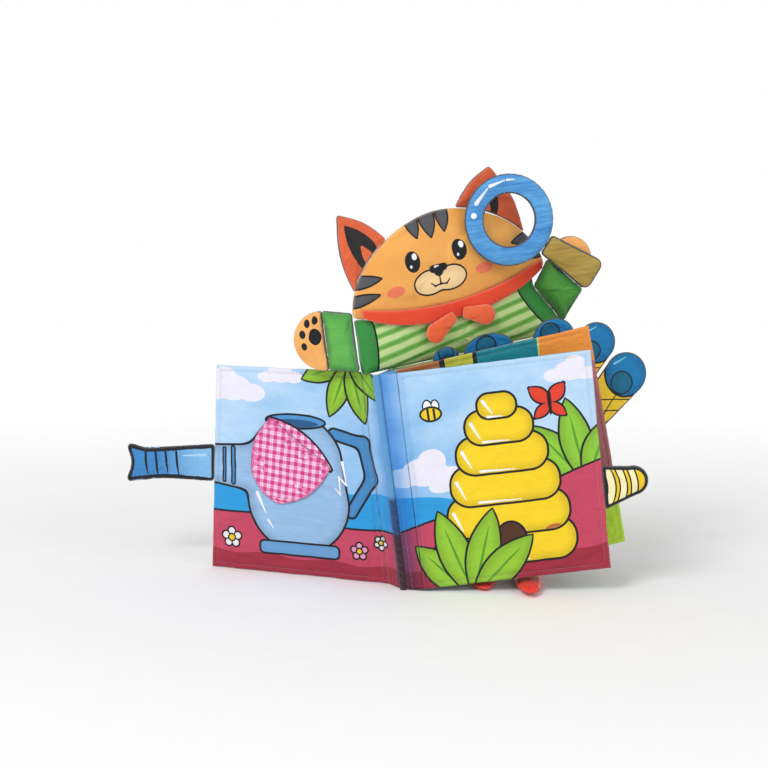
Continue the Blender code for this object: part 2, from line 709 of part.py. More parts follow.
def make_magnifier(book):
    """A flat padded ring and its handle, in a plane in front of the head."""
    turn = frame("magnifier_plane", book, turn=math.radians(MAGNIFIER_TURN_DEGREES))
    centre = over_pages(RING_CENTRE)
    handle_turn = math.radians(HANDLE_DEGREES)
    along = Vector((math.cos(handle_turn), math.sin(handle_turn)))
    pivot = centre + along * HANDLE_PIVOT
    seam = frame("magnifier_seam", turn, (pivot.x, MAGNIFIER_OFFSET, pivot.y))
    bpy.ops.mesh.primitive_torus_add(
        major_segments=RING_STEPS,
        minor_segments=RING_SIDES,
        major_radius=(RING_OUTER + RING_INNER) / 2,
        minor_radius=(RING_OUTER - RING_INNER) / 2,
    )
    ring = bpy.context.object
    ring.name = "magnifier_ring"
    flat = Matrix.Diagonal((1, 1, RING_HALF * 2 / (RING_OUTER - RING_INNER), 1))
    shift = Matrix.Translation((centre.x - pivot.x, 0, centre.y - pivot.y))
    ring.data.transform(shift @ Matrix.Rotation(math.pi / 2, 4, "X") @ flat)
    ring.data.materials.append(BLUE)
    for collection in ring.users_collection:
        collection.objects.unlink(ring)
    BOOK.objects.link(ring)
    ring.parent = seam
    across = Vector((-along.y, along.x)) / 2
    start = centre - pivot + along * (RING_OUTER + GAP)
    end = start + along * HANDLE_LENGTH
    neck = across * HANDLE_NECK
    broad = across * HANDLE_WIDTH
    lower = smooth_corner(start - neck, end - broad, end + broad, HANDLE_CORNER)
    upper = smooth_corner(end - broad, end + broad, start + neck, HANDLE_CORNER)
    outline = straight(start - neck, lower[0], 5) + lower + straight(lower[-1], upper[0], 2)[1:] + upper
    outline += straight(upper[-1], start + neck, 5)[1:] + straight(start + neck, start - neck, 3)
    pad("magnifier_handle", seam, outline, HANDLE_HALF, HANDLE_CLOTH)


# Feet and spine

def join(obj, other):
    """Makes two closed shapes one solid."""
    modifier = obj.modifiers.new("join", "BOOLEAN")
    modifier.operation = "UNION"
    modifier.object = other
    CUTTERS.objects.link(other)
    BOOK.objects.unlink(other)
    other.hide_render = True
    other.display_type = "WIRE"


def make_foot(name, foot, cover_hinge, corners, place):
    """A puffy satin foot, flat where it meets the table, with a leg up to the back cover."""
    builder = bmesh.new()
    bmesh.ops.create_uvsphere(builder, u_segments=16, v_segments=10, radius=1)
    half_height = (foot["height"] + SOLE_CUT) / 2
    x, y = foot["centre"]
    size = Matrix.Diagonal((foot["half_width"], foot["half_length"], half_height, 1))
    builder.transform(Matrix.Translation((x, y, half_height - SOLE_CUT)) @ size)
    faces = builder.verts[:] + builder.edges[:] + builder.faces[:]
    cut = bmesh.ops.bisect_plane(builder, geom=faces, plane_co=(0, 0, 0), plane_no=(0, 0, 1), clear_inner=True)
    rim = [item for item in cut["geom_cut"] if isinstance(item, bmesh.types.BMEdge)]
    bmesh.ops.edgeloop_fill(builder, edges=rim)
    face_outwards(builder)
    obj = new_object(name, builder, None, SATIN)
    # The leg stands where the foot passes under the back cover's lower edge.
    world = local_matrix(cover_hinge)
    low, far = Vector(corners[0]), Vector(corners[1])
    ends = [world @ Vector((point.x, place, point.y)) for point in (low, far)]
    share = (x - ends[0].x) / (ends[1].x - ends[0].x)
    top = ends[0].lerp(ends[1], share)
    drop = (ends[1].z - ends[0].z) / (ends[1].x - ends[0].x) * LEG_WIDTH / 2
    height = top.z - drop - GAP - half_height
    leg = bmesh.new()
    bmesh.ops.create_cube(leg, size=1)
    heading = Matrix.Rotation(math.radians(BACK_COVER["degrees"]), 4, "Z")
    block = Matrix.Diagonal((LEG_WIDTH, LEG_THICKNESS, height, 1))
    leg.transform(Matrix.Translation((top.x, top.y, half_height + height / 2)) @ heading @ block)
    join(obj, new_object(name + "_leg", leg, None, SATIN))


def make_spine(book):
    """The sewn roll, cut level where it stands on the table."""
    builder = bmesh.new()
    bmesh.ops.create_cone(
        builder, cap_ends=True, segments=SPINE_SIDES, radius1=SPINE_RADIUS, radius2=SPINE_RADIUS, depth=1
    )
    length = PAGE_HEIGHT + SPINE_TUCK
    builder.transform(Matrix.Translation((0, 0, PAGE_HEIGHT - length / 2)) @ Matrix.Diagonal((1, 1, length, 1)))
    up = local_matrix(book).to_3x3().inverted() @ Vector((0, 0, 1))
    geometry = builder.verts[:] + builder.edges[:] + builder.faces[:]
    cut = bmesh.ops.bisect_plane(builder, geom=geometry, plane_co=(0, 0, 0), plane_no=up, clear_inner=True)
    rim = [item for item in cut["geom_cut"] if isinstance(item, bmesh.types.BMEdge)]
    bmesh.ops.edgeloop_fill(builder, edges=rim)
    face_outwards(builder)
    new_object("spine_binding", builder, book, BINDING)


def place_of(leaf):
    return leaf["place"] * STACK_PITCH


def main():
    book = book_frame()
    make_spine(book)
    corners = cover_corners(FRONT_COVER)
    hinge = make_leaf("front_cover", book, FRONT_COVER, corners, LAVENDER, SKY)
    make_trunk(hinge, corners, place_of(FRONT_COVER))
    make_flap(hinge, place_of(FRONT_COVER))
    make_left_arm(book, corners, FRONT_COVER)
    corners = leaf_corners(LEAF_1)
    hinge = make_leaf("leaf_1", book, LEAF_1, corners, SKY, TEAL_PRINT)
    make_tail(hinge, corners, place_of(LEAF_1))
    make_leaf("leaf_2", book, LEAF_2, leaf_corners(LEAF_2), TEAL_PRINT, GROUND)
    corners = leaf_corners(LEAF_3)
    hinge = make_leaf("leaf_3", book, LEAF_3, corners, GREEN_PRINT, TEAL_PRINT)
    make_round_tabs(hinge, corners, place_of(LEAF_3))
    corners = leaf_corners(BACK_COVER)
    hinge = make_leaf("back_cover", book, BACK_COVER, corners, GREEN_PRINT, SHIRT)
    place = place_of(BACK_COVER)
    make_torso(hinge, corners, place)
    make_head(hinge, place)
    make_ear("left_ear", hinge, place, LEFT_EAR)
    make_ear("right_ear", hinge, place, RIGHT_EAR)
    make_scarf(hinge, place)
    make_foot("left_foot", LEFT_FOOT, hinge, corners, place)
    make_foot("right_foot", RIGHT_FOOT, hinge, corners, place)
    make_right_arm(book, math.radians(BACK_COVER["degrees"]), place)
    make_magnifier(book)


main()
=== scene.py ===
# %% [markdown]
# # A crinkle cloth book
#
# This book is five padded cloth leaves sewn to a rolled spine. Stuffed shapes are sewn to the
# leaves: a long tab, a gingham flap, a tail, five round tabs, and an animal figure whose arm holds
# a cloth magnifier. Everything here is soft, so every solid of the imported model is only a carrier:
# it says where a piece is and how it moves, and a softer, finer piece is built in its place.
#
# One way to start would be to model over a photograph by eye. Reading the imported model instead
# keeps each piece exactly where it is hinged, so that it still fits when the leaves turn.

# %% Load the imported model
import json
import math

import bmesh
import bpy
import numpy as np
from mathutils import Matrix, Vector, noise


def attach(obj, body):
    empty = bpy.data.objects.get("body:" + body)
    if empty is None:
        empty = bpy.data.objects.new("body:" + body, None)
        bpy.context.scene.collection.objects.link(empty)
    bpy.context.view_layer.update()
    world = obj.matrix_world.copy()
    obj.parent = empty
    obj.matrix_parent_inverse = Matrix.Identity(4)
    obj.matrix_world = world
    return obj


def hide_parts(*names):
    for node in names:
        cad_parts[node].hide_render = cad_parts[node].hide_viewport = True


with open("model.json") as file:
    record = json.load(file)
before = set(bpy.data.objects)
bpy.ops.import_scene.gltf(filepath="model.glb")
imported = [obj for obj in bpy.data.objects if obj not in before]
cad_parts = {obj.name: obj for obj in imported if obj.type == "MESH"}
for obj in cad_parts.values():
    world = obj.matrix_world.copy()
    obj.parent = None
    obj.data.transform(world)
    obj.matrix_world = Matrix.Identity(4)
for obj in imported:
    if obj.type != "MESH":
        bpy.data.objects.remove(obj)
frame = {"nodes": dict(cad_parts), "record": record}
carriers = {node: body for body, nodes in frame["record"]["behaviour"]["bodies"].items() for node in nodes}
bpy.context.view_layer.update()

# %% [markdown]
# ## Camera, light and floor
#
# The photograph was taken from about 13 degrees above the table, from straight in front of the
# spine and with a long lens, so the camera stands 1.4 m away. The frame isn't centred on the
# book, and a small lens shift does what cropping did in the photograph.
#
# Cloth shows its folds best under one broad, soft lamp from above and to one side, with pale
# light from everywhere else. A harsh lamp would turn each pucker into a black line.

# %% Camera
camera_data = bpy.data.cameras.new("camera")
camera_data.lens = 85.4
camera_data.sensor_width = 36
camera_data.shift_x = -0.0258
camera_data.shift_y = 0.129
camera = bpy.data.objects.new("camera", camera_data)
elevation, away, aim_height = math.radians(13), 1.4, 0.085
camera.location = (0, -away * math.cos(elevation), aim_height + away * math.sin(elevation))
camera.rotation_euler = (math.pi / 2 - elevation, 0, 0)
bpy.context.scene.collection.objects.link(camera)
bpy.context.scene.camera = camera
bpy.context.scene.view_settings.view_transform = "Standard"
print("camera height in mm:", round(1000 * camera.location.z))


# %% Node helpers
def add(tree, kind, *values, **settings):
    """Adds a node. Each value in turn is linked if it is a socket, set if a number, skipped if None."""
    made = tree.nodes.new("ShaderNode" + kind)
    for key, value in settings.items():
        setattr(made, key, value)
    for socket, value in zip(made.inputs, values):
        if isinstance(value, bpy.types.NodeSocket):
            tree.links.new(value, socket)
        elif value is not None:
            socket.default_value = value
    return made


def calc(tree, operation, *values):
    return add(tree, "Math", *values, operation=operation).outputs[0]


def vector(tree, operation, *values):
    """A vector sum. Dot products, lengths and distances come out as a single value."""
    made = add(tree, "VectorMath", *values, operation=operation)
    return made.outputs["Value" if operation in ("DOT_PRODUCT", "LENGTH", "DISTANCE") else "Vector"]


def mix(tree, share, first, second):
    """A colour between two colours."""
    made = tree.nodes.new("ShaderNodeMix")
    made.data_type = "RGBA"
    for name, value in (("Factor_Float", share), ("A_Color", first), ("B_Color", second)):
        socket = next(s for s in made.inputs if s.identifier == name)
        if isinstance(value, bpy.types.NodeSocket):
            tree.links.new(value, socket)
        else:
            socket.default_value = value if name == "Factor_Float" else (*value, 1)
    return next(s for s in made.outputs if s.identifier == "Result_Color")


# %% Floor, backdrop and lamps
def pale_stage():
    """A white floor that keeps shadows, and a white world that only the camera sees at full strength."""
    builder = bmesh.new()
    bmesh.ops.create_grid(builder, x_segments=1, y_segments=1, size=6)
    mesh = bpy.data.meshes.new("floor")
    builder.to_mesh(mesh)
    floor = bpy.data.objects.new("floor", mesh)
    material = bpy.data.materials.new("floor_paper")
    material.use_nodes = True
    tree = material.node_tree
    shader = tree.nodes["Principled BSDF"]
    paper = add(tree, "TexCoord").outputs["Object"]
    grain = add(tree, "TexNoise", paper, None, 40.0)
    tint = add(tree, "ValToRGB", grain.outputs[0])
    tint.color_ramp.elements[0].color = (0.90, 0.90, 0.90, 1)
    tint.color_ramp.elements[1].color = (0.93, 0.93, 0.93, 1)
    tree.links.new(tint.outputs[0], shader.inputs["Base Color"])
    shader.inputs["Roughness"].default_value = 0.9
    far = vector(tree, "LENGTH", vector(tree, "MULTIPLY", paper, (0.6, 1, 0)))
    far = add(tree, "MapRange", far, 0.18, 0.70, 0.0, 1.0).outputs[0]
    seen = add(tree, "LightPath").outputs["Is Camera Ray"]
    far = calc(tree, "MULTIPLY", far, seen)
    clear = add(tree, "BsdfTransparent")
    blend = add(tree, "MixShader", far, shader.outputs[0], clear.outputs[0])
    tree.links.new(blend.outputs[0], tree.nodes["Material Output"].inputs["Surface"])
    mesh.materials.append(material)
    bpy.context.scene.collection.objects.link(floor)
    return floor


def pale_world(strength):
    world = bpy.data.worlds.new("pale_room")
    bpy.context.scene.world = world
    world.use_nodes = True
    tree = world.node_tree
    path = add(tree, "LightPath")
    seen = calc(tree, "MAXIMUM", path.outputs["Is Camera Ray"], path.outputs["Is Glossy Ray"])
    seen = calc(tree, "MAXIMUM", seen, path.outputs["Is Transmission Ray"])
    level = calc(tree, "MULTIPLY_ADD", seen, 1 - strength, strength)
    background = tree.nodes["Background"]
    background.inputs["Color"].default_value = (1, 1, 1, 1)
    tree.links.new(level, background.inputs["Strength"])


def soft_lamp(name, place, size, power):
    data = bpy.data.lights.new(name, "AREA")
    data.shape = "DISK"
    data.size = size
    data.energy = power
    lamp = bpy.data.objects.new(name, data)
    lamp.location = place
    lamp.rotation_euler = (Vector((0, 0, 0.12)) - Vector(place)).to_track_quat("-Z", "Y").to_euler()
    bpy.context.scene.collection.objects.link(lamp)


pale_stage()
pale_world(0.62)
soft_lamp("key_lamp", (-1.1, -1.5, 1.9), 1.1, 30)
soft_lamp("fill_lamp", (1.6, -1.0, 1.0), 1.4, 6)
print("lamps:", [light.name for light in bpy.data.lights])

# %% [markdown]
# ## Reading a piece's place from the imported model
#
# Each leaf is a plane that passes through the leaning spine. A page or a tab is flat in its own
# plane, so it is easiest to describe there: x is the distance from the spine, z the height along
# it, and y the distance off the plane. One matrix a plane then carries the finished mesh to its
# place.
#
# The outline of a stuffed tab could be typed in again as numbers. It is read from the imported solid
# instead: its seam is the loop of points that lie furthest out, and a smooth curve through these
# points makes a finer piece that can't drift away from its solid.

# %% Planes
SPINE_LEAN, SPINE_TOWARDS = math.radians(7.2), math.radians(172)
LEAN_AXIS = Vector((-math.sin(SPINE_TOWARDS), math.cos(SPINE_TOWARDS), 0))
SPINE = Matrix.Rotation(SPINE_LEAN, 4, LEAN_AXIS)
TURNS = {"front_cover": 160, "leaf_1": -2, "leaf_2": 7, "leaf_3": 16, "back_cover": 26, "arm": 12}
PLANES = {name: SPINE @ Matrix.Rotation(math.radians(turn), 4, "Z") for name, turn in TURNS.items()}
PLACES = {"front_cover": -0.010, "leaf_1": -0.005, "leaf_2": 0.0, "leaf_3": 0.005, "back_cover": 0.010}
MM = 1000
print("planes:", ", ".join(PLANES))


# %% Reading the solids
def welded(node):
    """A bmesh copy of a CAD node with its loose triangles merged."""
    builder = bmesh.new()
    builder.from_mesh(frame["nodes"][node].data)
    bmesh.ops.remove_doubles(builder, verts=builder.verts, dist=2e-6)
    return builder


def in_plane(node, plane):
    """The node's points in its plane's coordinates: distance out, off the plane, and up."""
    builder = welded(node)
    back = PLANES[plane].inverted()
    points = np.array([back @ vert.co for vert in builder.verts])
    spokes = np.array([len(vert.link_edges) for vert in builder.verts])
    builder.free()
    return points, spokes


def page_corners(node, plane):
    """Inner low, outer low, outer top and inner top."""
    points, _ = in_plane(node, plane)
    flat = points[:, [0, 2]]
    ways = ((-1, -1), (1, -1), (1, 1), (-1, 1))
    return [Vector(flat[np.argmax(flat @ np.array(way))]) for way in ways]


def outer_corners(flat):
    """The corners of the outline that a string pulled tight round the flat points would have."""
    def one_way(points):
        kept = []
        for point in points:
            while len(kept) > 1 and (kept[-1] - kept[-2]).cross(point - kept[-1]) < 1e-7:
                kept.pop()
            kept.append(point)
        return kept[:-1]

    order = [Vector(point) for point in sorted(map(tuple, flat))]
    return one_way(order) + one_way(order[::-1])


def sleeve_seam(node, plane):
    """A sleeve has straight sides, so its seam is read from its four corners."""
    points, _ = in_plane(node, plane)
    flat = points[:, [0, 2]]
    loop = outer_corners(flat)
    ends = [int(np.argmin(np.hypot(*(flat - np.array(corner)).T))) for corner in loop]
    level = np.c_[np.ones(len(flat)), flat]
    lift = np.linalg.lstsq(level[ends], points[ends, 1], rcond=None)[0]
    return loop, sum(loop, Vector((0, 0))) / len(loop), float(abs(points[:, 1] - level @ lift).max()), lift


def seam_of(node, plane):
    """A stuffed piece's seam in its plane, its middle, half thickness and lift off the plane."""
    points, spokes = in_plane(node, plane)
    poles = points[np.argsort(spokes)[-2:]]
    middle = poles.mean(axis=0)
    rays = points[:, [0, 2]] - middle[[0, 2]]
    reach = np.hypot(*rays.T)
    angle = np.degrees(np.arctan2(rays[:, 1], rays[:, 0]))
    order = [i for i in np.argsort(angle) if reach[i] > 1e-4]
    groups = [[order[0]]]
    for i in order[1:]:
        if angle[i] - angle[groups[-1][-1]] > 0.4:
            groups.append([])
        groups[-1].append(i)
    if angle[groups[0][0]] + 360 - angle[groups[-1][-1]] < 0.4:
        groups[0] += groups.pop()
    loop = points[[max(group, key=lambda i: reach[i]) for group in groups]]
    half = abs(poles[0][1] - poles[1][1]) / 2
    for _ in range(2):  # a ray whose seam point is missing ends off the seam's level, and is left out
        level = np.c_[np.ones(len(loop)), loop[:, [0, 2]]]
        lift = np.linalg.lstsq(level, loop[:, 1], rcond=None)[0]
        loop = loop[abs(loop[:, 1] - level @ lift) < 0.3 * half]
    return [Vector((p[0], p[2])) for p in loop], Vector(middle[[0, 2]]), half, lift


for node, plane, read in (("head", "back_cover", seam_of), ("right_sleeve", "arm", sleeve_seam)):
    seam, middle, half, lift = read(node, plane)
    print(node, "seam points:", len(seam), "half thickness in mm:", round(half * MM, 2))

# %% [markdown]
# ## Soft shapes
#
# A small stuffed piece is two cut cloths sewn face to face along their edge, turned, and filled.
# So it is thickest in its middle and comes to a crease along its seam. A sphere whose rings are
# drawn out to the seam gives that form, with its grid lines running along the seam and across it.
#
# The filling pushes the cloth out between its seams, and the spare cloth puckers. Cloth simulation
# with a little pressure makes these puckers for itself. The seam is held, and no point may move
# more than a fraction of a millimetre outwards, because the leaves have to close on each other.

# %% Outlines
def smooth_loop(points, spacing, sharp=34):
    """A closed curve through the points, with its sharp corners kept, as points about one spacing apart."""
    count = len(points)
    steps = [points[(i + 1) % count] - points[i] for i in range(count)]
    corner = [steps[i - 1].angle(steps[i]) > math.radians(sharp) for i in range(count)]
    reach = [min(steps[i - 1].length, steps[i].length) for i in range(count)]
    heading = [(steps[i - 1].normalized() + steps[i].normalized()).normalized() for i in range(count)]
    curve = []
    for i, step in enumerate(steps):
        after = (i + 1) % count
        start = step if corner[i] else heading[i] * reach[i]
        end = step if corner[after] else heading[after] * reach[after]
        parts = max(1, round(step.length / spacing))
        for share in (k / parts for k in range(parts)):
            here = points[i].lerp(points[after], share * share * (3 - 2 * share))
            here += start * (share ** 3 - 2 * share ** 2 + share) + end * (share ** 3 - share ** 2)
            curve.append(here)
    return curve


def soften(points, passes):
    """Rounds the corners that a needle and thread can't keep sharp."""
    for _ in range(passes):
        points = [(points[i - 1] + points[i] * 2 + points[(i + 1) % len(points)]) / 4
                  for i in range(len(points))]
    return points


head_loop = smooth_loop(seam_of("head", "back_cover")[0], 0.002)
print("points round the head's seam:", len(head_loop))


# %% Marking a mesh for its print and its seams
def mark(builder, seam, front=0):
    """Stores where each point lies on the flat print, in mm, and how far from and along the seam it is.

    Front is which way along y the printed face looks. The plain back starts a metre away on the map.
    """
    marks = builder.loops.layers.uv.new("print")
    edge = builder.verts.layers.float.new("edge")
    along = builder.verts.layers.float.new("along")
    loop = np.array([[p.x, p.y] for p in seam])
    length = np.concatenate([[0], np.cumsum(np.hypot(*(np.roll(loop, -1, axis=0) - loop).T))])
    for vert in builder.verts:
        flat = flat_place(vert.co)
        gaps = np.hypot(*(loop - flat).T)
        near = int(np.argmin(gaps))
        vert[edge] = gaps[near] * MM
        vert[along] = length[near] * MM
    for face in builder.faces:
        shift = -1000 if face.normal.y * front < 0 else 0
        for corner in face.loops:
            flat = flat_place(corner.vert.co)
            corner[marks].uv = (flat[0] * MM + shift, flat[1] * MM)


def flat_place(point):
    return np.array([point.x, point.z])


def finish_piece(name, builder, plane):
    """Makes the object, with its place in its mesh."""
    mesh = bpy.data.meshes.new(name)
    builder.to_mesh(mesh)
    builder.free()
    mesh.transform(PLANES[plane])
    mesh.shade_smooth()
    obj = bpy.data.objects.new(name, mesh)
    bpy.context.scene.collection.objects.link(obj)
    return obj


print("print marks are in mm from the spine and up it")


# %% Cloth simulation
def puff(obj, pinned, pressure, out, inwards, spare=0.02, frames=20):
    """Fills the closed mesh under pressure. Spare is how much larger the cloth is than its frame."""
    group = obj.vertex_groups.new(name="pinned")
    group.add([int(i) for i in pinned], 1, "REPLACE")
    count = len(obj.data.vertices)
    start = np.empty(3 * count, np.float32)
    obj.data.vertices.foreach_get("co", start)
    normals = np.empty(3 * count, np.float32)
    obj.data.vertices.foreach_get("normal", normals)
    modifier = obj.modifiers.new("cloth", "CLOTH")
    cloth = modifier.settings
    cloth.quality = 4
    cloth.mass = 0.15
    cloth.tension_stiffness = cloth.compression_stiffness = 12
    cloth.shear_stiffness = 4
    cloth.bending_stiffness = 0.3
    cloth.use_pressure = True
    cloth.uniform_pressure_force = pressure
    cloth.shrink_min = -spare
    cloth.vertex_group_mass = "pinned"
    cloth.effector_weights.gravity = 0
    modifier.collision_settings.use_collision = False
    for step in range(1, frames + 1):
        bpy.context.scene.frame_set(step)
    moved = np.empty(3 * count, np.float32)
    obj.evaluated_get(bpy.context.evaluated_depsgraph_get()).data.vertices.foreach_get("co", moved)
    obj.modifiers.remove(modifier)
    obj.vertex_groups.remove(group)
    bpy.context.scene.frame_set(1)
    start, normals, moved = (values.reshape(-1, 3).astype(float) for values in (start, normals, moved))
    step = moved - start
    rise = (step * normals).sum(axis=1)
    side = step - normals * rise[:, None]
    limit = np.minimum(1, out / np.maximum(np.linalg.norm(side, axis=1), 1e-9))
    step = side * limit[:, None] + normals * np.clip(rise, -inwards, out)[:, None]
    step[np.asarray(pinned, int)] = 0
    obj.data.vertices.foreach_set("co", (start + step).astype(np.float32).ravel())
    obj.data.update()
    print(obj.name, "moved in and out by, in mm before its cap:", round(float(rise.min()) * MM, 2),
          round(float(rise.max()) * MM, 2))


print("simulation is", "on")


# %% Stuffed pieces
def stuffed(node, plane, spacing=0.0018, rings=14, corner_passes=3, pressure=3.0,
            cap=0.0004, sink=0.0008, power=2.6, crease=None, read=seam_of):
    """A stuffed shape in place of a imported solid, with the same seam and thickness."""
    loop, middle, half, lift = read(node, plane)
    loop = soften(smooth_loop(loop, spacing), corner_passes)
    count = len(loop)
    builder = bmesh.new()
    bmesh.ops.create_uvsphere(builder, u_segments=count, v_segments=2 * rings, radius=1)
    pinned = []
    for vert in builder.verts:
        step = round(math.atan2(vert.co.y, vert.co.x) * count / math.tau + 0.1) % count  # never at a half
        height = vert.co.z
        share = max(1 - height ** 2, 0) ** (1 / power)
        rise = math.copysign(abs(height) ** (2 / power), height)
        flat = middle + (loop[step] - middle) * share
        off = lift[0] + lift[1] * flat.x + lift[2] * flat.y
        fold = crease(flat, share) if crease else 0
        vert.co = (flat.x, off - half * rise * (1 - fold), flat.y)
        if abs(height) < 0.02 or fold > 0.4:
            pinned.append(vert.index)
    if builder.calc_volume(signed=True) < 0:
        bmesh.ops.reverse_faces(builder, faces=builder.faces)
    builder.normal_update()
    mark(builder, loop, 1 if plane == "front_cover" else -1)
    piece = finish_piece(node + "_cloth", builder, plane)
    puff(piece, pinned, pressure, cap, sink)
    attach(piece, carriers[node])
    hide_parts(node)
    return piece


print("stuffed pieces stand for their solids one for one")

# %% [markdown]
# ## Printed cloth
#
# Every cloth of the book is smooth polyester satin with a picture printed on it in dye. Up close it
# has three layers of detail: the weave, the mottle where dye took unevenly, and the picture with
# its inked outlines and dry brush streaks.
#
# A picture could be painted as an image file. Here each motif is a formula instead: a group works
# out how far a place is from a disc, a limb, a box or a hill, and the paint group turns this
# distance into a filled shape with an ink line. The picture then stays sharp at any size, and its
# colours can be changed in one place. Places are in millimetres on the flat cloth, read from the
# piece's own print map, so that the picture follows every pucker.

# %% Group helper and dyes
def dye(red, green, blue):
    """A colour as it looks on a screen, turned into the value that a shader wants."""
    return tuple(((part + 0.055) / 1.055) ** 2.4 if part > 0.04 else part / 12.92
                 for part in (red, green, blue))


INK = dye(0.035, 0.045, 0.075)
BLEED = 1.4
WHITE = dye(0.95, 0.95, 0.96)
KINDS = {"value": "NodeSocketFloat", "vector": "NodeSocketVector", "colour": "NodeSocketColor"}


def new_group(name, inputs, outputs):
    """A shader group with named sockets. Inputs are (name, kind, default) and outputs (name, kind)."""
    tree = bpy.data.node_groups.new(name, "ShaderNodeTree")
    for label, kind, default in inputs:
        socket = tree.interface.new_socket(label, in_out="INPUT", socket_type=KINDS[kind])
        if default is not None:
            socket.default_value = (*default, 1) if kind == "colour" else default
    for label, kind in outputs:
        tree.interface.new_socket(label, in_out="OUTPUT", socket_type=KINDS[kind])
    entry = tree.nodes.new("NodeGroupInput")
    exit_node = tree.nodes.new("NodeGroupOutput")
    return tree, entry.outputs, exit_node.inputs


def place_group(tree, group, *values):
    """Puts a group in a material, and gives its inputs in turn a socket or a number."""
    made = tree.nodes.new("ShaderNodeGroup")
    made.node_tree = group
    for socket, value in zip(made.inputs, values):
        if isinstance(value, bpy.types.NodeSocket):
            tree.links.new(value, socket)
        elif value is not None:
            socket.default_value = (*value, 1) if socket.type == "RGBA" else value
    return made.outputs


def ramp_between(tree, value, low, high, to_low=0.0, to_high=1.0):
    """A soft step from one value to another."""
    return add(tree, "MapRange", value, low, high, to_low, to_high,
               interpolation_type="SMOOTHSTEP").outputs[0]


print("ink:", [round(part, 3) for part in INK])


# %% Distance groups
def flat_point(tree, x, z):
    return add(tree, "CombineXYZ", x, z).outputs[0]


def disc_group():
    tree, given, out = new_group(
        "disc_distance",
        [("Place", "vector", None), ("X", "value", 0), ("Z", "value", 0), ("Half width", "value", 10),
         ("Half height", "value", 10)],
        [("Distance", "value")],
    )
    away = vector(tree, "SUBTRACT", given["Place"], flat_point(tree, given["X"], given["Z"]))
    size = flat_point(tree, given["Half width"], given["Half height"])
    share = vector(tree, "LENGTH", vector(tree, "DIVIDE", away, size))
    slope = vector(tree, "LENGTH", vector(tree, "DIVIDE", vector(tree, "DIVIDE", away, size), size))
    reach = calc(tree, "DIVIDE", calc(tree, "MULTIPLY", share, calc(tree, "SUBTRACT", share, 1.0)),
                 calc(tree, "MAXIMUM", slope, 0.001))
    tree.links.new(reach, out["Distance"])
    return tree


def limb_group():
    """A straight stroke whose width changes from start to end. Belly swells its middle into a leaf."""
    tree, given, out = new_group(
        "limb_distance",
        [("Place", "vector", None), ("X from", "value", 0), ("Z from", "value", 0), ("X to", "value", 10),
         ("Z to", "value", 0), ("Start radius", "value", 2), ("End radius", "value", 2),
         ("Belly", "value", 0)],
        [("Distance", "value")],
    )
    start = flat_point(tree, given["X from"], given["Z from"])
    away = vector(tree, "SUBTRACT", given["Place"], start)
    axis = vector(tree, "SUBTRACT", flat_point(tree, given["X to"], given["Z to"]), start)
    share = calc(tree, "DIVIDE", vector(tree, "DOT_PRODUCT", away, axis),
                 vector(tree, "DOT_PRODUCT", axis, axis))
    share = add(tree, "Clamp", share).outputs[0]
    nearest = add(tree, "VectorMath", axis, None, None, share, operation="SCALE").outputs[0]
    gap = vector(tree, "DISTANCE", away, nearest)
    wide = add(tree, "MapRange", share, 0.0, 1.0, given["Start radius"], given["End radius"]).outputs[0]
    arch = calc(tree, "SINE", calc(tree, "MULTIPLY", share, math.pi))
    wide = calc(tree, "ADD", wide, calc(tree, "MULTIPLY", calc(tree, "POWER", arch, 0.8), given["Belly"]))
    tree.links.new(calc(tree, "SUBTRACT", gap, wide), out["Distance"])
    return tree


def hill_group():
    """Everything under a sloping, waving line."""
    tree, given, out = new_group(
        "hill_distance",
        [("Place", "vector", None), ("Height", "value", 0), ("Slope", "value", 0), ("Wave", "value", 1),
         ("Length", "value", 60), ("Phase", "value", 0)],
        [("Distance", "value")],
    )
    parts = add(tree, "SeparateXYZ", given["Place"]).outputs
    turn = calc(tree, "ADD",
                calc(tree, "DIVIDE", calc(tree, "MULTIPLY", parts[0], math.tau), given["Length"]),
                given["Phase"])
    line = calc(tree, "ADD", given["Height"], calc(tree, "MULTIPLY", given["Slope"], parts[0]))
    line = calc(tree, "ADD", line, calc(tree, "MULTIPLY", given["Wave"], calc(tree, "SINE", turn)))
    tree.links.new(calc(tree, "SUBTRACT", parts[1], line), out["Distance"])
    return tree


def box_group():
    tree, given, out = new_group(
        "box_distance",
        [("Place", "vector", None), ("X", "value", 0), ("Z", "value", 0), ("Half width", "value", 10),
         ("Half height", "value", 10), ("Turn", "value", 0), ("Corner", "value", 1)],
        [("Distance", "value")],
    )
    away = vector(tree, "SUBTRACT", given["Place"], flat_point(tree, given["X"], given["Z"]))
    turned = add(tree, "VectorRotate", away, None, (0, 0, 1), given["Turn"],
                 rotation_type="AXIS_ANGLE").outputs[0]
    size = flat_point(tree, given["Half width"], given["Half height"])
    corner = flat_point(tree, given["Corner"], given["Corner"])
    past = vector(tree, "SUBTRACT", vector(tree, "ABSOLUTE", turned), vector(tree, "SUBTRACT", size, corner))
    outside = vector(tree, "LENGTH", vector(tree, "MAXIMUM", past, (0, 0, 0)))
    parts = add(tree, "SeparateXYZ", past).outputs
    inside = calc(tree, "MINIMUM", calc(tree, "MAXIMUM", parts[0], parts[1]), 0.0)
    tree.links.new(calc(tree, "SUBTRACT", calc(tree, "ADD", outside, inside), given["Corner"]),
                   out["Distance"])
    return tree


SHAPES = {"disc": disc_group(), "limb": limb_group(), "hill": hill_group(), "box": box_group()}
print("shapes:", ", ".join(SHAPES))


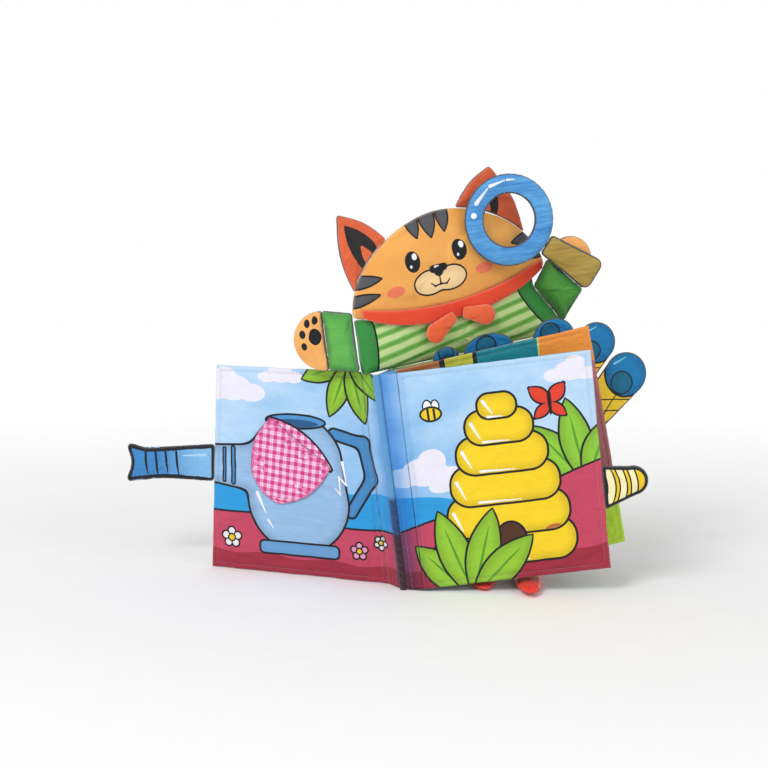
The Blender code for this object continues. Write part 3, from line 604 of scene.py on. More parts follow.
# %% Paint, brush, weave and seam groups
def paint_group():
    """One painted layer: a fill with brush streaks and darker rims, and an ink line round it."""
    tree, given, out = new_group(
        "paint_layer",
        [("Under", "colour", (1, 1, 1)), ("Distance", "value", 0), ("Fill", "colour", (1, 1, 1)),
         ("Line", "value", 1.2), ("Brush", "value", 0.5), ("Streak", "value", 0.2), ("Rim", "value", 0.15),
         ("Ink", "colour", INK)],
        [("Colour", "colour")],
    )
    inside = ramp_between(tree, given["Distance"], 0.12, -0.12)
    rim = calc(tree, "MULTIPLY", ramp_between(tree, given["Distance"], -9.0, 0.0), given["Rim"])
    streak = calc(tree, "MULTIPLY", calc(tree, "SUBTRACT", given["Brush"], 0.5), given["Streak"])
    level = calc(tree, "SUBTRACT", calc(tree, "ADD", streak, 1.0), rim)
    fill = add(tree, "VectorMath", given["Fill"], None, None, level, operation="SCALE").outputs[0]
    filled = mix(tree, inside, given["Under"], fill)
    wander = calc(tree, "MULTIPLY", calc(tree, "SUBTRACT", given["Brush"], 0.5), 0.5)
    off = calc(tree, "ABSOLUTE", calc(tree, "ADD", given["Distance"], wander))
    half = calc(tree, "DIVIDE", given["Line"], 2.0)
    line = ramp_between(tree, calc(tree, "SUBTRACT", off, half), 0.14, -0.14)
    line = calc(tree, "MULTIPLY", line, calc(tree, "GREATER_THAN", given["Line"], 0.01))
    tree.links.new(mix(tree, line, filled, given["Ink"]), out["Colour"])
    return tree


def brush_group():
    """Dry brush streaks along x, with broader washes under them."""
    tree, given, out = new_group("brush_streaks", [("Place", "vector", None), ("Seed", "value", 0)],
                                 [("Brush", "value"), ("Wash", "value")])
    shift = add(tree, "CombineXYZ", 0.0, 0.0, given["Seed"]).outputs[0]
    flat = vector(tree, "ADD", vector(tree, "MULTIPLY", given["Place"], (0.035, 0.34, 0)), shift)
    fine = add(tree, "TexNoise", flat, None, 1.0, 4.0, 0.62).outputs[0]
    broad = vector(tree, "ADD", vector(tree, "MULTIPLY", given["Place"], (0.02, 0.045, 0)), shift)
    wash = add(tree, "TexNoise", broad, None, 1.0, 3.0, 0.5).outputs[0]
    both = calc(tree, "ADD", calc(tree, "MULTIPLY", fine, 0.65), calc(tree, "MULTIPLY", wash, 0.35))
    tree.links.new(both, out["Brush"])
    tree.links.new(wash, out["Wash"])
    return tree


def weave_group():
    """Plain weave: warp and weft threads that pass over each other, and a dye mottle."""
    tree, given, out = new_group(
        "plain_weave", [("Place", "vector", None), ("Thread", "value", 0.4)],
        [("Height", "value"), ("Mottle", "value")]
    )
    turns = add(tree, "VectorMath", given["Place"], None, None,
                calc(tree, "DIVIDE", math.pi, given["Thread"]),
                operation="SCALE").outputs[0]
    waves = add(tree, "SeparateXYZ", vector(tree, "SINE", turns)).outputs
    over = calc(tree, "MULTIPLY", waves[0], waves[1])
    tree.links.new(calc(tree, "MULTIPLY_ADD", over, 0.5, 0.5), out["Height"])
    patches = add(tree, "TexNoise", vector(tree, "MULTIPLY", given["Place"], (0.12, 0.12, 0.12)), None, 1.0,
                  5.0, 0.7)
    tree.links.new(patches.outputs[0], out["Mottle"])
    return tree


def crinkle_group():
    """Fine creases that never quite iron out, sharpest where the cloth is loose."""
    tree, given, out = new_group("crinkles", [("Place", "vector", None), ("Size", "value", 14)],
                                 [("Height", "value")])
    scaled = add(tree, "VectorMath", given["Place"], None, None, calc(tree, "DIVIDE", 1.0, given["Size"]),
                 operation="SCALE").outputs[0]
    warp = add(tree, "TexNoise", scaled, None, 1.2, 3.0).outputs[1]
    bent = vector(tree, "ADD", scaled, vector(tree, "MULTIPLY", warp, (0.9, 0.9, 0.9)))
    fold = add(tree, "TexNoise", bent, None, 1.6, 2.0, 0.5).outputs[0]
    sharp = calc(tree, "ABSOLUTE", calc(tree, "SUBTRACT", fold, 0.5))
    crease = ramp_between(tree, sharp, 0.0, 0.10)
    soft = add(tree, "TexNoise", scaled, None, 2.6, 2.0, 0.5).outputs[0]
    height = calc(tree, "ADD", calc(tree, "MULTIPLY", crease, 0.5), calc(tree, "MULTIPLY", soft, 0.5))
    tree.links.new(height, out["Height"])
    return tree


def stitch_group():
    """A row of machine stitches at one distance from the seam."""
    tree, given, out = new_group(
        "stitch_row",
        [("Edge", "value", 0), ("Along", "value", 0), ("Inset", "value", 4), ("Length", "value", 2.6)],
        [("Mask", "value"), ("Height", "value")],
    )
    off = calc(tree, "ABSOLUTE", calc(tree, "SUBTRACT", given["Edge"], given["Inset"]))
    row = ramp_between(tree, off, 0.38, 0.16)
    turn = calc(tree, "FRACT", calc(tree, "DIVIDE", given["Along"], given["Length"]))
    dash = ramp_between(tree, calc(tree, "ABSOLUTE", calc(tree, "SUBTRACT", turn, 0.5)), 0.40, 0.32)
    mask = calc(tree, "MULTIPLY", row, dash)
    sunk = calc(tree, "MULTIPLY", ramp_between(tree, off, 1.6, 0.2), -0.5)
    tree.links.new(mask, out["Mask"])
    tree.links.new(calc(tree, "ADD", sunk, calc(tree, "MULTIPLY", mask, 0.6)), out["Height"])
    return tree


PAINT, BRUSH, WEAVE = paint_group(), brush_group(), weave_group()
CRINKLES, STITCHES = crinkle_group(), stitch_group()
print("groups:", ", ".join(tree.name for tree in bpy.data.node_groups))


# %% A cloth material round any picture
def print_map(tree, turn=0.0, shift=(0.0, 0.0)):
    """Places in mm on the flat cloth, turned about the spine's foot and then shifted."""
    marks = add(tree, "UVMap", uv_map="print").outputs[0]
    place = add(tree, "VectorRotate", marks, None, (0, 0, 1), -math.radians(turn), rotation_type="AXIS_ANGLE")
    return vector(tree, "SUBTRACT", place.outputs[0], (*shift, 0))


def paint(tree, place, brush, under, layers):
    """Paints layers in turn. Each is (shapes, fill, line width, extra settings).

    Ink bleeds into satin, so a line prints wider than it is drawn.
    """
    colour = under
    for shapes, fill, line, *more in layers:
        extra = more[0] if more else {}
        distance = None
        for kind, *sizes in shapes:
            found = place_group(tree, SHAPES[kind], place, *map(float, sizes))["Distance"]
            join = extra.get("join", 0.0)
            if distance is None:
                distance = found
            elif join:
                distance = calc(tree, "SMOOTH_MIN", distance, found, join)
            else:
                distance = calc(tree, "MINIMUM", distance, found)
        within = extra.get("within")
        if within:
            kind, *sizes = within
            bound = place_group(tree, SHAPES[kind], place, *map(float, sizes))["Distance"]
            distance = calc(tree, "MAXIMUM", distance, bound)
        colour = place_group(
            tree, PAINT, colour, distance, fill, BLEED * line, brush, extra.get("streak", 0.22),
            extra.get("rim", 0.14), extra.get("ink", INK),
        )["Colour"]
    return colour


def cloth(name, picture, roughness=0.62, sheen=0.2, stitches=None, crinkle=0.6, thread=0.42,
          crinkle_size=14.0,
          seam_fade=0.10, crease_depth=0.0008, turn=0.0, shift=(0.0, 0.0), seed=0.0):
    """A cloth whose picture is given as a function of its tree, its places and its brush streaks."""
    material = bpy.data.materials.new(name)
    material.use_nodes = True
    tree = material.node_tree
    shader = tree.nodes["Principled BSDF"]
    place = print_map(tree, turn, shift)
    brush = place_group(tree, BRUSH, place, float(seed))
    edge = add(tree, "Attribute", attribute_name="edge").outputs["Fac"]
    along = add(tree, "Attribute", attribute_name="along").outputs["Fac"]
    colour = picture(tree, place, brush["Brush"], brush["Wash"], edge)
    weave = place_group(tree, WEAVE, place, thread)
    mottle = calc(tree, "MULTIPLY_ADD", weave["Mottle"], 0.14, 0.93)
    thread_shade = calc(tree, "MULTIPLY_ADD", weave["Height"], 0.06, 0.97)
    colour = add(tree, "VectorMath", colour, None, None, calc(tree, "MULTIPLY", mottle, thread_shade),
                 operation="SCALE").outputs[0]
    worn = calc(tree, "MULTIPLY", ramp_between(tree, edge, 1.6, 0.1), seam_fade)
    colour = mix(tree, worn, colour, WHITE)
    height = calc(tree, "MULTIPLY", place_group(tree, CRINKLES, place, crinkle_size)["Height"], crinkle)
    height = calc(tree, "ADD", height, calc(tree, "MULTIPLY", weave["Height"], 0.05))
    if stitches:
        row = place_group(tree, STITCHES, edge, along, float(stitches[0]), 2.6)
        colour = mix(tree, calc(tree, "MULTIPLY", row["Mask"], 0.13), colour, stitches[1])
        height = calc(tree, "ADD", height, row["Height"])
    bump = add(tree, "Bump", 0.7, crease_depth)
    tree.links.new(height, bump.inputs["Height"])
    tree.links.new(colour, shader.inputs["Base Color"])
    tree.links.new(bump.outputs[0], shader.inputs["Normal"])
    rough = calc(tree, "MULTIPLY_ADD", weave["Mottle"], 0.18, roughness - 0.09)
    tree.links.new(rough, shader.inputs["Roughness"])
    shader.inputs["Sheen Weight"].default_value = sheen
    shader.inputs["Sheen Roughness"].default_value = 0.4
    shader.inputs["Specular IOR Level"].default_value = 0.35
    return material


def wear(piece, *materials):
    piece.data.materials.clear()
    for material in materials:
        piece.data.materials.append(material)


print("paint inputs:", [socket.name for socket in PAINT.nodes["Group Input"].outputs][:-1])

# %% [markdown]
# ## Motifs that several pages share
#
# The pages are a garden. Clouds, leaf fans, flowers and hills come back on many of them, so each is
# a short function that returns painted layers, from the back to the front. The dyes are those of a
# bright printed toy: two skies, a rose ground, leaf green, sun yellow and a watery cyan.

# %% Dyes and shared motifs
SKY, DEEP_SKY, CLOUD = dye(0.72, 0.84, 0.95), dye(0.44, 0.69, 0.90), dye(0.91, 0.90, 0.95)
WATER, ROSE, DARK_ROSE = dye(0.14, 0.60, 0.85), dye(0.76, 0.26, 0.37), dye(0.62, 0.15, 0.24)
LEAF_GREEN, DEEP_GREEN, LIME = dye(0.58, 0.78, 0.20), dye(0.33, 0.60, 0.15), dye(0.72, 0.86, 0.22)
YELLOW, CREAM, BROWN = dye(0.96, 0.82, 0.12), dye(0.97, 0.93, 0.72), dye(0.72, 0.42, 0.18)
CAN_BLUE, DEEP_CAN, TEAL = dye(0.58, 0.73, 0.88), dye(0.28, 0.56, 0.80), dye(0.02, 0.50, 0.56)
RED, ORANGE, PINK = dye(0.90, 0.25, 0.16), dye(0.94, 0.58, 0.22), dye(0.93, 0.62, 0.78)
PLAIN = {"streak": 0.06, "rim": 0.0}


def cloud(x, z, size):
    puffs = [("disc", x, z, size, 0.62 * size), ("disc", x - size, z - 0.2 * size, 0.7 * size, 0.42 * size),
             ("disc", x + size, z - 0.25 * size, 0.75 * size, 0.4 * size),
             ("disc", x + 0.35 * size, z + 0.45 * size, 0.6 * size, 0.5 * size)]
    return [(puffs, CLOUD, 0, PLAIN)]


def leaf_fan(root, tips, belly, fill=LEAF_GREEN, vein=DEEP_GREEN):
    """Pointed leaves that spread from one root, each with a vein."""
    layers = []
    for x, z in tips:
        layers.append(([("limb", *root, x, z, 0.5, 0.2, belly)], fill, 1.2, {"streak": 0.4, "rim": 0.25}))
        near, far = (0.25, 0.80)
        vein_from = (root[0] + (x - root[0]) * near, root[1] + (z - root[1]) * near)
        vein_to = (root[0] + (x - root[0]) * far, root[1] + (z - root[1]) * far)
        layers.append(([("limb", *vein_from, *vein_to, 0.7, 0.2, 0.5)], vein, 0, PLAIN))
    return layers


def flower(x, z, size, petal, heart=YELLOW, petals=5, turn=0.3):
    around = [turn + math.tau * k / petals for k in range(petals)]
    discs = [("disc", x + size * math.cos(a), z + size * math.sin(a), 0.62 * size, 0.62 * size)
             for a in around]
    return [(discs, petal, 1.0), ([("disc", x, z, 0.55 * size, 0.55 * size)], heart, 0.9)]


def stroke(x, z, to_x, to_z, width, fill=WHITE):
    return ([("limb", x, z, to_x, to_z, width, 0.3 * width, 0)], fill, 0, PLAIN)


def sky_over(tree, place, wash, top=SKY, low=DEEP_SKY, towards=(0.002, -0.004), level=0.35):
    """A washed sky that deepens downwards."""
    deep = vector(tree, "DOT_PRODUCT", place, (*towards, 0))
    share = add(tree, "Clamp",
                calc(tree, "ADD", calc(tree, "MULTIPLY_ADD", wash, 1.5, level - 0.5), deep)).outputs[0]
    return mix(tree, share, top, low)


print("flower layers:", len(flower(0, 0, 5, WHITE)))

# %% [markdown]
# ## The open spread
#
# The left page shows a big blue watering can. Its spout runs off the page into the long tab, and
# the gingham flap is a patch on its side. The right page shows a coiled yellow beehive whose tab is
# a striped tail. Both stand on rose ground, with water, clouds and fans of leaves round them.

# %% Watering can page
CAN_TURN = 7.04


def gingham(tree, place, turn=0.0):
    """Pink checks that lean on the cloth, with a fine darker windowpane over them."""
    lean = add(tree, "VectorRotate", place, None, (0, 0, 1), math.radians(turn - 13),
               rotation_type="AXIS_ANGLE")
    shares = []
    for part in range(2):
        along = add(tree, "SeparateXYZ", lean.outputs[0]).outputs[part]
        wave = calc(tree, "SINE", calc(tree, "MULTIPLY", along, math.tau / 6.2))
        band = ramp_between(tree, wave, -0.25, 0.25)
        fine = calc(tree, "SINE", calc(tree, "MULTIPLY", along, math.tau / 2.07))
        thread = calc(tree, "MULTIPLY", ramp_between(tree, fine, 0.2, 0.9), 0.35)
        shares.append(calc(tree, "MAXIMUM", band, thread))
    both = calc(tree, "MULTIPLY", calc(tree, "ADD", *shares), 0.5)
    pale = mix(tree, ramp_between(tree, both, 0.0, 0.5), dye(0.97, 0.85, 0.92), dye(0.91, 0.53, 0.73))
    return mix(tree, ramp_between(tree, both, 0.55, 1.0), pale, dye(0.80, 0.24, 0.52))


def painted_gutter_shade(tree, place, colour, reach, depth, turn=0.0):
    """Painted shade: the print is darkened towards deep blue where the page dips into the spine's fold. Reach
    is in mm.
    """
    lean = math.radians(turn)
    out = vector(tree, "DOT_PRODUCT", place, (math.cos(lean), -math.sin(lean), 0))
    near = ramp_between(tree, out, reach, 3.0, 0.0, depth)
    return mix(tree, near, colour, vector(tree, "MULTIPLY", colour, (0.14, 0.46, 0.80)))


def can_page(tree, place, brush, wash, edge):
    sky = sky_over(tree, place, wash, towards=(-0.0042, -0.0030), level=0.80)
    layers = cloud(146, 150, 17) + cloud(104, 163, 11)
    layers += [
        ([("hill", 72, 0.0, 1.2, 70, 0.5)], WATER, 0, {"streak": 0.5, "rim": 0.0}),
        ([("hill", 42, 0.05, 1.6, 120, 2.0)], ROSE, 1.2, {"streak": 0.5, "rim": 0.0}),
        ([("hill", 13, 0.02, 1.4, 55, 0.4)], DARK_ROSE, 0, {"streak": 0.8, "rim": 0.0}),
        ([("limb", 60, 118, 36, 112, 4.6, 4.6, 0), ("limb", 36, 112, 29, 84, 4.6, 4.6, 0),
          ("limb", 29, 84, 46, 56, 4.6, 4.6, 0)], DEEP_CAN, 1.3, {"join": 6.0, "rim": 0.2}),
        ([("limb", 91, 62, 92, 92, 43, 39, 0), ("limb", 118, 86, 172, 87, 20, 15.0, 0)], CAN_BLUE, 1.3,
         {"join": 14.0, "streak": 0.5, "rim": 0.26}),
        ([("disc", 92, 126, 25, 5.6)], DEEP_CAN, 1.2, {"rim": 0.0}),
        ([("disc", 92, 124.5, 19, 3.2)], dye(0.13, 0.33, 0.52), 0, PLAIN),
        ([("box", 91, 22, 34, 5.4, 0, 4)], dye(0.42, 0.64, 0.84), 1.2),
        ([("limb", 147, 73, 146, 101, 1.6, 1.6, 0)], DEEP_CAN, 1.0),
        ([("limb", 155, 74, 154, 100, 1.2, 1.2, 0)], DEEP_CAN, 1.0),
        ([("disc", 124.9, 58.6, 70.5, 70.5)], gingham(tree, place, CAN_TURN), 1.2,
         {"within": ("box", 86.0, 111.5, 33, 5.7, -0.634, 0.5), **PLAIN}),
    ]
    layers += [stroke(53, 96, 50, 78, 1.1), stroke(50, 78, 56, 84, 0.9), stroke(56, 84, 55, 70, 0.9),
               stroke(55, 70, 60, 75, 0.7), stroke(126, 66, 119, 50, 1.4), stroke(117, 44, 113, 38, 1.0)]
    layers += flower(150, 27, 5.4, WHITE) + flower(40, 25, 4.6, PINK) + flower(22, 33, 3.8, WHITE, turn=0.8)
    layers += leaf_fan((47, 176), [(86, 160), (63, 132), (34, 128), (18, 148)], 8.5)
    # Painted shade in the spine's fold darkens the page's inner edge.
    return painted_gutter_shade(tree, place, paint(tree, place, brush, sky, layers), 13.0, 0.45, CAN_TURN)


CAN_PRINT = cloth("sky_print_can", can_page, stitches=(4.0, dye(0.86, 0.90, 0.94)), turn=CAN_TURN, seed=1,
                  crinkle=0.7, crinkle_size=30)
print("can page nodes:", len(CAN_PRINT.node_tree.nodes))


# %% Beehive page
def hive_page(tree, place, brush, wash, edge):
    sky = sky_over(tree, place, wash, top=SKY, low=DEEP_SKY, towards=(-0.0042, -0.002), level=0.62)
    layers = cloud(28, 92, 18) + cloud(50, 82, 12) + cloud(146, 157, 12)
    layers += [
        ([("disc", 14, 55, 52, 18)], WATER, 0, {"streak": 0.5, "rim": 0.0}),
    ]
    layers += leaf_fan((150, 70), [(112, 118), (140, 136), (172, 118)], 12, fill=dye(0.55, 0.78, 0.22))
    layers += [
        ([("hill", 44, 0.25, 2.2, 130, 0.2)], ROSE, 1.2, {"streak": 0.5, "rim": 0.0}),
        ([("hill", 12, 0.06, 1.4, 55, 0.4)], DARK_ROSE, 0, {"streak": 0.8, "rim": 0.0}),
    ]
    rolls = [(30, 50, 17), (53, 47, 16.5), (77, 42, 16), (100, 35, 15), (121, 26, 13.5), (137, 15, 10)]
    spots = [(60, 25, 12, 6), (122, 34, 9, 7), (104, 52, 15, 6.5), (58, 76, 8, 8), (98, 98, 10, 6),
             (82, 120, 6, 5)]
    for (z, wide, high), (spot_x, spot_z, spot_wide, spot_high) in zip(rolls, spots):
        layers.append(([("box", 88, z, wide, high, 0, 0.94 * high)], YELLOW, 1.3,
                       {"streak": 0.2, "rim": 0.24}))
        layers.append(([("disc", spot_x, spot_z, spot_wide, spot_high)], BROWN, 0,
                       {"streak": 0.3, "rim": 0.0,
                        "within": ("box", 88, z, wide - 1, high - 1, 0, 0.9 * high)}))
        layers.append(stroke(88 - wide + 5, z + 4, 88 - wide + 11, z - 0.6 * high, 1.3))
        layers.append(stroke(88 - 0.5 * wide, z - 0.82 * high, 88 + 0.25 * wide, z - 0.86 * high, 1.0))
    layers += [
        ([("disc", 88, 33, 11.5, 13.5)], dye(0.30, 0.16, 0.10), 1.3, PLAIN),
        ([("limb", 128, 135, 140, 148, 1.5, 1.0, 4.5), ("limb", 128, 135, 114, 147, 1.5, 1.0, 4.5),
          ("limb", 128, 134, 139, 124, 1.2, 0.8, 3.4), ("limb", 128, 134, 116, 124, 1.2, 0.8, 3.4)], RED,
         1.1),
        ([("limb", 128, 142, 128, 126, 1.4, 0.8, 0.4)], INK, 0, PLAIN),
    ]
    for x, z in ((38, 136), (36, 30)):
        layers += [
            ([("disc", x - 2, z + 6, 3.4, 5.0), ("disc", x + 4, z + 6, 3.0, 4.6)], WHITE, 0.8, PLAIN),
            ([("disc", x, z, 8.0, 5.4)], YELLOW, 1.1),
            ([("box", x - 2, z, 0.9, 4.6, 0, 0.5), ("box", x + 2.6, z, 0.9, 4.2, 0, 0.5)], INK, 0, PLAIN),
        ]
    layers += leaf_fan((54, -10), [(14, 34), (34, 60), (76, 58), (104, 34)], 12.5)
    # Painted shade in the spine's fold darkens the page's inner edge.
    return painted_gutter_shade(tree, place, paint(tree, place, brush, sky, layers), 25.0, 0.85)


HIVE_PRINT = cloth("sky_print_hive", hive_page, stitches=(4.0, dye(0.86, 0.90, 0.94)), seed=2,
                   crinkle=0.7, crinkle_size=30)
print("hive page nodes:", len(HIVE_PRINT.node_tree.nodes))

# %% [markdown]
# ## The pages behind
#
# Only slivers of the other leaves show while the book stands open, but they turn, so each has its
# own picture: a striped cloth strip along the top of the second leaf, a pond, a meadow and a night
# sky. They are plainer than the open spread, with the same motifs in other places.

# %% Strip along the second leaf and the pond
def strip_page(tree, place, brush, wash, edge):
    """A pond whose upper border is a band of coloured cloths, with a russet and a lime corner."""
    pond = mix(tree, wash, dye(0.10, 0.62, 0.68), dye(0.03, 0.45, 0.56))
    layers = leaf_fan((90, 20), [(50, 66), (88, 84), (128, 62)], 11)
    layers += flower(58, 118, 7, PINK, petals=7) + flower(112, 122, 6, WHITE, petals=7)
    layers += [
        ([("limb", 40, 40, 66, 40, 5, 1, 5), ("limb", 70, 40, 78, 47, 0.6, 2, 1),
          ("limb", 70, 40, 78, 33, 0.6, 2, 1)],
         ORANGE, 1.1, {"join": 2.0}),
        ([("disc", 46, 42, 1.3, 1.3)], INK, 0, PLAIN),
        ([("box", 168, 100, 22, 80, 0, 1)], dye(0.70, 0.42, 0.43), 0, {"streak": 0.4, "rim": 0.0}),
        ([("box", 168, 14, 22, 30, 0, 1)], LIME, 1.0, {"streak": 0.3, "rim": 0.0}),
        ([("box", 30, 178, 20, 16, 0, 1)], dye(0.66, 0.40, 0.22), 1.6, PLAIN),
        ([("box", 64, 178, 12, 18, 0, 1)], dye(0.74, 0.74, 0.22), 1.6, {"streak": 0.5, "rim": 0.0}),
        ([("box", 102, 178, 25, 18, 0, 1)], TEAL, 1.6, {"streak": 0.4, "rim": 0.0}),
        ([("box", 148, 182, 21.5, 24, 0, 1)], ORANGE, 0, {"streak": 0.5, "rim": 0.0}),
        stroke(127, 198, 125.5, 156, 0.9, dye(0.80, 0.90, 0.50)),
        stroke(118, 190, 84, 180, 1.0, dye(0.20, 0.70, 0.74)),
    ]
    return paint(tree, place, brush, pond, layers)


def pond_page(tree, place, brush, wash, edge):
    """Lily pads and reeds on teal water."""
    pond = mix(tree, wash, dye(0.12, 0.64, 0.70), dye(0.02, 0.42, 0.52))
    layers = [([("disc", x, z, 19, 8)], LEAF_GREEN, 1.2, {"rim": 0.25}) for x,
              z in ((50, 40), (110, 62), (66, 92))]
    layers += flower(52, 50, 6, PINK, petals=7) + flower(112, 74, 7, WHITE, petals=7)
    layers += [([("limb", x, 4, x + 4, 120, 1.2, 0.8, 0.4)], DEEP_GREEN, 0.8) for x in (132, 140, 147)]
    layers += [([("limb", x + 4, 108, x + 5, 132, 3.4, 3.2, 0)], BROWN, 1.0) for x in (132, 140, 147)]
    layers += cloud(60, 148, 14)
    return paint(tree, place, brush, pond, layers)


def rose_page(tree, place, brush, wash, edge):
    """A row of toadstools on rose ground."""
    ground = mix(tree, wash, ROSE, dye(0.66, 0.18, 0.28))
    layers = []
    for x, z, size in ((48, 60, 1.0), (98, 84, 1.4), (136, 52, 0.8)):
        layers += [
            ([("limb", x, z - 30 * size, x, z, 6 * size, 5 * size, 0)], CREAM, 1.2),
            ([("disc", x, z + 2 * size, 24 * size, 15 * size)], RED, 1.2,
             {"within": ("box", x, z + 17 * size, 30, 17, 0, 2)}),
            ([("disc", x - 9 * size, z + 7 * size, 4 * size, 3 * size),
              ("disc", x + 6 * size, z + 9 * size, 4 * size, 3 * size)],
             WHITE, 0, PLAIN),
        ]
    layers += leaf_fan((20, 0), [(4, 40), (26, 48), (48, 34)], 8)
    return paint(tree, place, brush, ground, layers)


STRIP_PRINT = cloth("teal_print_strip", strip_page, seed=3, stitches=(4.0, dye(0.75, 0.80, 0.80)))
POND_PRINT = cloth("teal_print_pond", pond_page, seed=4, stitches=(4.0, dye(0.75, 0.85, 0.85)))
ROSE_PRINT = cloth("rose_print_toadstools", rose_page, seed=5, stitches=(4.0, dye(0.90, 0.80, 0.80)))
print("strip page nodes:", len(STRIP_PRINT.node_tree.nodes))


# %% Meadow, sunflower, night sky and cover
def meadow_page(tree, place, brush, wash, edge):
    """Rolling green fields under a low sun."""
    layers = [
        ([("disc", 118, 138, 19, 19)], YELLOW, 1.2),
        ([("hill", 96, -0.10, 8, 150, 0)], dye(0.66, 0.84, 0.40), 1.2, {"streak": 0.4, "rim": 0.0}),
        ([("hill", 60, 0.08, 7, 130, 2)], LEAF_GREEN, 1.2, {"streak": 0.5, "rim": 0.0}),
        ([("hill", 22, 0.02, 5, 90, 1)], DEEP_GREEN, 1.2, {"streak": 0.5, "rim": 0.0}),
    ]
    layers += flower(50, 62, 6, WHITE) + flower(92, 40, 7, YELLOW, BROWN, 8) + flower(134, 58, 6, PINK)
    return paint(tree, place, brush, sky_over(tree, place, wash), layers)


def sunflower_page(tree, place, brush, wash, edge):
    """One tall sunflower on leaf green."""
    green = mix(tree, wash, dye(0.72, 0.86, 0.42), dye(0.45, 0.70, 0.26))
    layers = [([("limb", 90, 0, 88, 92, 3, 2.2, 0)], DEEP_GREEN, 1.2)]
    layers += leaf_fan((90, 34), [(50, 58), (132, 54)], 10)
    layers += flower(88, 108, 22, YELLOW, BROWN, 12)
    layers += [([("disc", 88, 108, 8, 8)], dye(0.40, 0.22, 0.12), 0, {"streak": 0.9, "rim": 0.3})]
    return paint(tree, place, brush, green, layers)


def night_page(tree, place, brush, wash, edge):
    """Round blue lamps strung over teal."""
    teal = mix(tree, wash, dye(0.04, 0.40, 0.50), dye(0.02, 0.28, 0.42))
    layers = []
    for k, x in enumerate((38, 66, 94, 122, 148)):
        z = 108 + 9 * math.cos(k * 1.6)
        layers += [([("limb", x, 172, x, z, 0.5, 0.5, 0)], INK, 0, PLAIN),
                   ([("disc", x, z, 10, 12)], YELLOW if k % 2 else ORANGE, 1.2, {"rim": 0.3})]
    layers += [([("hill", 34, 0.05, 4, 70, 0)], dye(0.02, 0.47, 0.66), 1.2, {"streak": 0.5, "rim": 0.0})]
    return paint(tree, place, brush, teal, layers)


def cover_page(tree, place, brush, wash, edge):
    """The outside of the front cover: a pale sky with a sun and one big cloud."""
    sky = mix(tree, wash, dye(0.84, 0.88, 0.96), dye(0.72, 0.79, 0.93))
    layers = [([("limb", 92 + 34 * math.cos(a), 96 + 34 * math.sin(a), 92 + 46 * math.cos(a),
                 96 + 46 * math.sin(a),
                 2.6, 0.6, 1.4)], ORANGE, 1.0) for a in (math.tau * k / 12 for k in range(12))]
    layers += [([("disc", 92, 96, 27, 27)], YELLOW, 1.3, {"rim": 0.25})]
    layers += cloud(70, 54, 24) + cloud(140, 140, 12)
    layers += leaf_fan((150, 0), [(112, 30), (136, 44), (166, 36)], 9)
    return paint(tree, place, brush, sky, layers)


def shirt_stripes(tree, place, brush, wash, edge):
    """Pale and mid green stripes that lean, with soft hand-painted rims."""
    lean = vector(tree, "DOT_PRODUCT", place, (-0.20, 0.98, 0))
    wander = calc(tree, "MULTIPLY", calc(tree, "SUBTRACT", brush, 0.5), 2.6)
    turn = calc(tree, "SINE", calc(tree, "MULTIPLY", calc(tree, "ADD", lean, wander), math.tau / 8.6))
    share = ramp_between(tree, turn, -0.35, 0.35)
    colour = mix(tree, share, dye(0.78, 0.88, 0.60), dye(0.47, 0.72, 0.32))
    fine = ramp_between(tree, turn, 0.80, 0.98)
    return mix(tree, fine, colour, dye(0.36, 0.62, 0.26))


MEADOW_PRINT = cloth("leaf_print_meadow", meadow_page, seed=6, stitches=(4.0, dye(0.85, 0.90, 0.80)))
SUNFLOWER_PRINT = cloth("leaf_print_sunflower", sunflower_page, seed=7, stitches=(4.0, dye(0.85, 0.90, 0.80)))
NIGHT_PRINT = cloth("teal_print_lamps", night_page, seed=8, stitches=(4.0, dye(0.60, 0.75, 0.80)))
COVER_PRINT = cloth("pale_print_sun", cover_page, seed=9, turn=CAN_TURN,
                    stitches=(4.0, dye(0.95, 0.95, 0.98)))
STRIPE_PRINT = cloth("striped_cloth_back", shirt_stripes, seed=10, stitches=(4.0, dye(0.88, 0.94, 0.80)))
print("prints:", [m.name for m in bpy.data.materials if "print" in m.name])

# %% [markdown]
# ## Cloths of the sewn-on shapes
#
# The tabs and the figure are printed too, but with bands, spots and outlines that follow their own
# seams. A border is drawn from the distance to the seam, which each mesh carries as an attribute,
# so it keeps its width round every curve. The gingham is woven: two sets of stripes of half
# strength cross, and are darkest where both lie. The page is printed with the same checks where the
# patch is sewn down, so that the seam hides between them.

# %% Blue, yellow and feather tabs
def bordered(tree, colour, edge, width, ink=INK):
    return mix(tree, ramp_between(tree, edge, width + 0.25, width - 0.25), colour, ink)


def trunk_picture(tree, place, brush, wash, edge):
    """Blue that deepens to its end, with printed folds and a heavy border, bare at its seam to the cover."""
    out, up, _ = add(tree, "SeparateXYZ", place).outputs
    rooted = calc(tree, "ADD", out, calc(tree, "MULTIPLY", up, 0.217))  # the seam to the cover leans
    pale = mix(tree, brush, dye(0.58, 0.78, 0.93), dye(0.42, 0.66, 0.86))
    deep = mix(tree, brush, dye(0.28, 0.60, 0.84), dye(0.13, 0.42, 0.70))
    blue = mix(tree, ramp_between(tree, out, 172.0, 218.0), pale, deep)
    folds = [([("limb", x, 73 - 0.09 * (x - 196) + 3 * (k % 2), x + 1.5, 94 - 0.09 * (x - 196), 0.3, 0.9,
                0.4)],
              INK, 0, PLAIN) for k, x in enumerate((196, 206, 215, 224))]
    painted = paint(tree, place, brush, blue, folds + [stroke(172, 93, 192, 91, 1.3, dye(0.66, 0.82, 0.95))])
    off = calc(tree, "SUBTRACT", edge, ramp_between(tree, rooted, 177.0, 195.0, 2.0, 3.6))
    border = calc(tree, "MAXIMUM", ramp_between(tree, off, 0.25, -0.25),
                  ramp_between(tree, out, 239.8, 241.4))
    border = calc(tree, "MULTIPLY", border, ramp_between(tree, rooted, 176.8, 177.8))
    return mix(tree, border, painted, INK)


